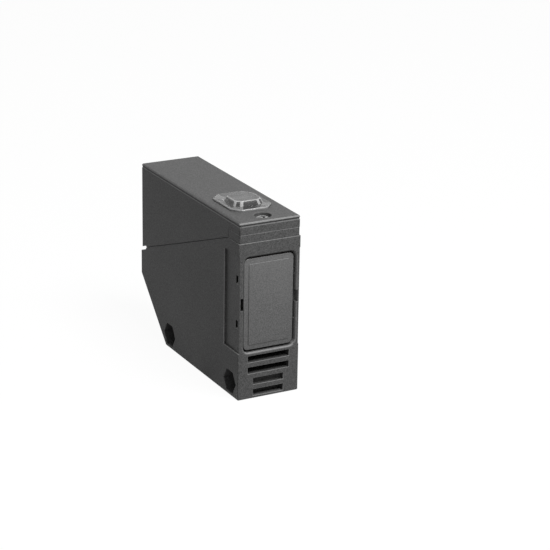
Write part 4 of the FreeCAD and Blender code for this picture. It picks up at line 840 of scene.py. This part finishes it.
def indicator_cap(material):
    """Clear cap: eight-sided flange, raised block with soft edges, hollow from below."""
    form = bmesh.new()
    layer = form.faces.layers.float.new(PAINTED_LIGHT_ATTRIBUTE)
    block(form, (CAP_WIDTH, CAP_LENGTH, CAP_FLANGE), (0, CAP_Y, CAP_LOW + CAP_FLANGE / 2))
    bevel(form, edges_along(form, 2), CAP_CORNER, 1)
    top = face_towards(form, (0, 0, 1))
    rim = list(top.edges)
    inset(form, top, CAP_MARGIN)
    fit_face(form, top, BLOCK_WIDTH + 2 * BLOCK_DRAFT, BLOCK_LENGTH + 2 * BLOCK_DRAFT, BLOCK_Y)
    crown = raised(form, top, BLOCK_HEIGHT)
    fit_face(form, crown, BLOCK_WIDTH, BLOCK_LENGTH, BLOCK_Y)
    around = list(crown.edges)
    corners = [edge for vert in crown.verts for edge in vert.link_edges if edge not in around]
    # Painted highlights on the block's corners, its crown edge and the flange rim.
    marked(bevel(form, corners, BLOCK_CORNER, ROUND_STEPS), layer, CORNER_HIGHLIGHT)
    crown = face_towards(form, (0, 0, 1))
    marked(bevel(form, list(crown.edges), BLOCK_EDGE, ROUND_STEPS), layer, CROWN_HIGHLIGHT)
    rim = [edge for edge in rim if edge.is_valid]
    marked(bevel(form, rim, CAP_EDGE, ROUND_STEPS), layer, RIM_HIGHLIGHT)
    flange_top = CAP_LOW + CAP_FLANGE
    # Painted highlights on the flange's sides and on the corners of its plate.
    for face in form.faces:
        middle = face.calc_center_median()
        across, along = abs(middle.x) / CAP_WIDTH, abs(middle.y - CAP_Y) / CAP_LENGTH
        if abs(face.normal.z) < 0.1 and middle.z < flange_top:
            face[layer] = SIDE_HIGHLIGHT
        if min(across, along) > 0.2 and face.normal.z > 0.9 and abs(middle.z - flange_top) < 0.1:
            face[layer] = PLATE_HIGHLIGHT
    below = face_towards(form, (0, 0, -1))
    inset(form, below, CAP_MARGIN)
    fit_face(form, below, HOLLOW_WIDTH, HOLLOW_LENGTH, BLOCK_Y)
    raised(form, below, -HOLLOW_DEPTH)
    piece_from(form, "indicator_cap", material, "indicator_window")


def cover_screw(material):
    """Screw with a domed head and a cross recess, deep in its well."""
    low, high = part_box("hood_screw")
    base, top = low[2] / MM, high[2] / MM
    form = bmesh.new()
    loop = cross_recess(form, top - CROWN_DROP)
    rings = [(HEAD_RADIUS - inward, top - down) for inward, down in HEAD_PROFILE]
    rings += [(HEAD_RADIUS, SCREW_SEAT), (SHANK_RADIUS, SCREW_SEAT),
              (SHANK_RADIUS, base + SHANK_END[1]), (SHANK_RADIUS - SHANK_END[0], base)]
    for radius, z in rings:
        made = bmesh.ops.extrude_edge_only(form, edges=loop)["geom"]
        ring = [part for part in made if isinstance(part, bmesh.types.BMVert)]
        loop = [part for part in made if isinstance(part, bmesh.types.BMEdge)
                and all(vert in ring for vert in part.verts)]
        for vert in ring:
            flat = Vector((vert.co.x, vert.co.y)).normalized() * radius
            vert.co = Vector((flat.x, flat.y, z))
    bmesh.ops.contextual_create(form, geom=loop)
    bmesh.ops.translate(form, vec=(0, SCREW_Y, 0), verts=form.verts)
    piece_from(form, "cover_screw", material, "hood_screw")


def cross_recess(form, z):
    """Adds the round crown of the head with the cross sunk in it, and returns its outer edges."""
    lines = (-CROWN_RADIUS, -CROSS_REACH, -CROSS_HALF, CROSS_HALF, CROSS_REACH, CROWN_RADIUS)
    last = len(lines) - 1
    bmesh.ops.create_grid(form, x_segments=last, y_segments=last, size=1.0)
    for vert in form.verts:
        column, row = (round((vert.co[k] + 1.0) * last / 2) for k in (0, 1))
        vert.co = Vector((lines[column], lines[row], z))
        if column in (0, last) or row in (0, last):
            turn = math.atan2(row - last / 2, column - last / 2)
            vert.co.x, vert.co.y = CROWN_RADIUS * math.cos(turn), CROWN_RADIUS * math.sin(turn)
    pit = []
    for face in form.faces:
        x, y, _ = face.calc_center_median()
        if min(abs(x), abs(y)) < CROSS_HALF and max(abs(x), abs(y)) < CROSS_REACH:
            pit.append(face)
    made = bmesh.ops.extrude_face_region(form, geom=pit)["geom"]
    floor = [part for part in made if isinstance(part, bmesh.types.BMVert)]
    bmesh.ops.delete(form, geom=pit, context="FACES_ONLY")
    loose = [edge for edge in form.edges if not edge.link_faces]
    bmesh.ops.delete(form, geom=loose, context="EDGES")
    bmesh.ops.translate(form, vec=(0, 0, -CROSS_DEPTH), verts=floor)
    bmesh.ops.scale(form, vec=(CROSS_TAPER, CROSS_TAPER, 1.0), verts=floor)
    return [edge for edge in form.edges if edge.is_boundary]


# Camera, light and floor

def set_camera():
    camera = bpy.data.objects.new("camera", bpy.data.cameras.new("camera"))
    bpy.context.scene.collection.objects.link(camera)
    camera.data.sensor_width = SENSOR
    camera.data.lens = FOCAL_PIXELS * SENSOR / IMAGE_SIZE
    camera.data.clip_start = CLIP_NEAR
    camera.data.clip_end = CLIP_FAR
    right, up, back = Vector(CAMERA_RIGHT), Vector(CAMERA_UP), -Vector(CAMERA_AHEAD)
    turn = Matrix((right, up, back)).transposed().to_4x4()
    camera.matrix_world = Matrix.Translation(CAMERA_PLACE) @ turn
    bpy.context.scene.camera = camera


def hang_softbox():
    lamp = bpy.data.lights.new("key softbox", "AREA")
    lamp.shape = "RECTANGLE"
    lamp.size = KEY_SIZE
    lamp.size_y = KEY_SIZE
    lamp.energy = KEY_POWER
    holder = bpy.data.objects.new("key softbox", lamp)
    bpy.context.scene.collection.objects.link(holder)
    aim = (Vector(KEY_AIM) - Vector(KEY_PLACE)).to_track_quat("-Z", "Y")
    holder.matrix_world = Matrix.Translation(KEY_PLACE) @ aim.to_matrix().to_4x4()


def light_the_studio():
    """One softbox, and an even room light that is seen as plain white."""
    bpy.context.scene.view_settings.view_transform = "Standard"
    hang_softbox()
    world = bpy.data.worlds.new("studio")
    bpy.context.scene.world = world
    world.use_nodes = True
    world.node_tree.nodes.clear()
    nodes = Nodes(world.node_tree)
    room = nodes.node("ShaderNodeBackground", {}, {"Color": grey(1.0), "Strength": ROOM_LIGHT})
    white = nodes.node("ShaderNodeBackground", {}, {"Color": grey(1.0), "Strength": 1.0})
    both_ways = nodes.node("ShaderNodeMixShader", {}, [nodes.seen(), room, white])
    nodes.node("ShaderNodeOutputWorld", {}, {"Surface": both_ways})


def lay_floor():
    """Pale floor, white to the camera apart from the soft shadow on it."""
    form = bmesh.new()
    bmesh.ops.create_grid(form, x_segments=1, y_segments=1, size=FLOOR_SIZE)
    mesh = bpy.data.meshes.new("floor")
    form.to_mesh(mesh)
    form.free()
    floor = bpy.data.objects.new("floor", mesh)
    bpy.context.scene.collection.objects.link(floor)
    floor.location = (0, 0, -FLOOR_DROP)
    finish = Finish("floor_white")
    shade = finish.blend(finish.seen(), grey(FLOOR_SHADE), grey(1.0))
    finish.set(Base_Color=shade, Roughness=0.85, Specular_IOR_Level=0.1)
    glow = finish.node("ShaderNodeEmission", {}, {"Color": grey(1.0), "Strength": 1.0})
    shader = Value(finish, finish.shader.outputs[0])
    mixed = finish.node("ShaderNodeMixShader", {}, [finish.seen() * FLOOR_SHARE, shader, glow])
    finish.tree.links.new(mixed.socket, finish.tree.nodes["Material Output"].inputs["Surface"])
    mesh.materials.append(finish.material)


def main():
    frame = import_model()
    set_camera()
    light_the_studio()
    lay_floor()
    finishes = make_materials()
    slots = {part["node"]: part["material_slot"] for part in frame["record"]["subparts"]}
    for name, node in frame["nodes"].items():
        node.data.materials.clear()
        node.data.materials.append(finishes[slots[name]])
    lower_body(finishes["housing_plastic"])
    hood_shell(finishes["hood_plastic"])
    window_panel(finishes["filter_plastic"])
    indicator_cap(finishes["clear_cap"])
    cover_screw(finishes["screw_steel"])
    entry_sleeve(finishes["gland_plastic"])


main()
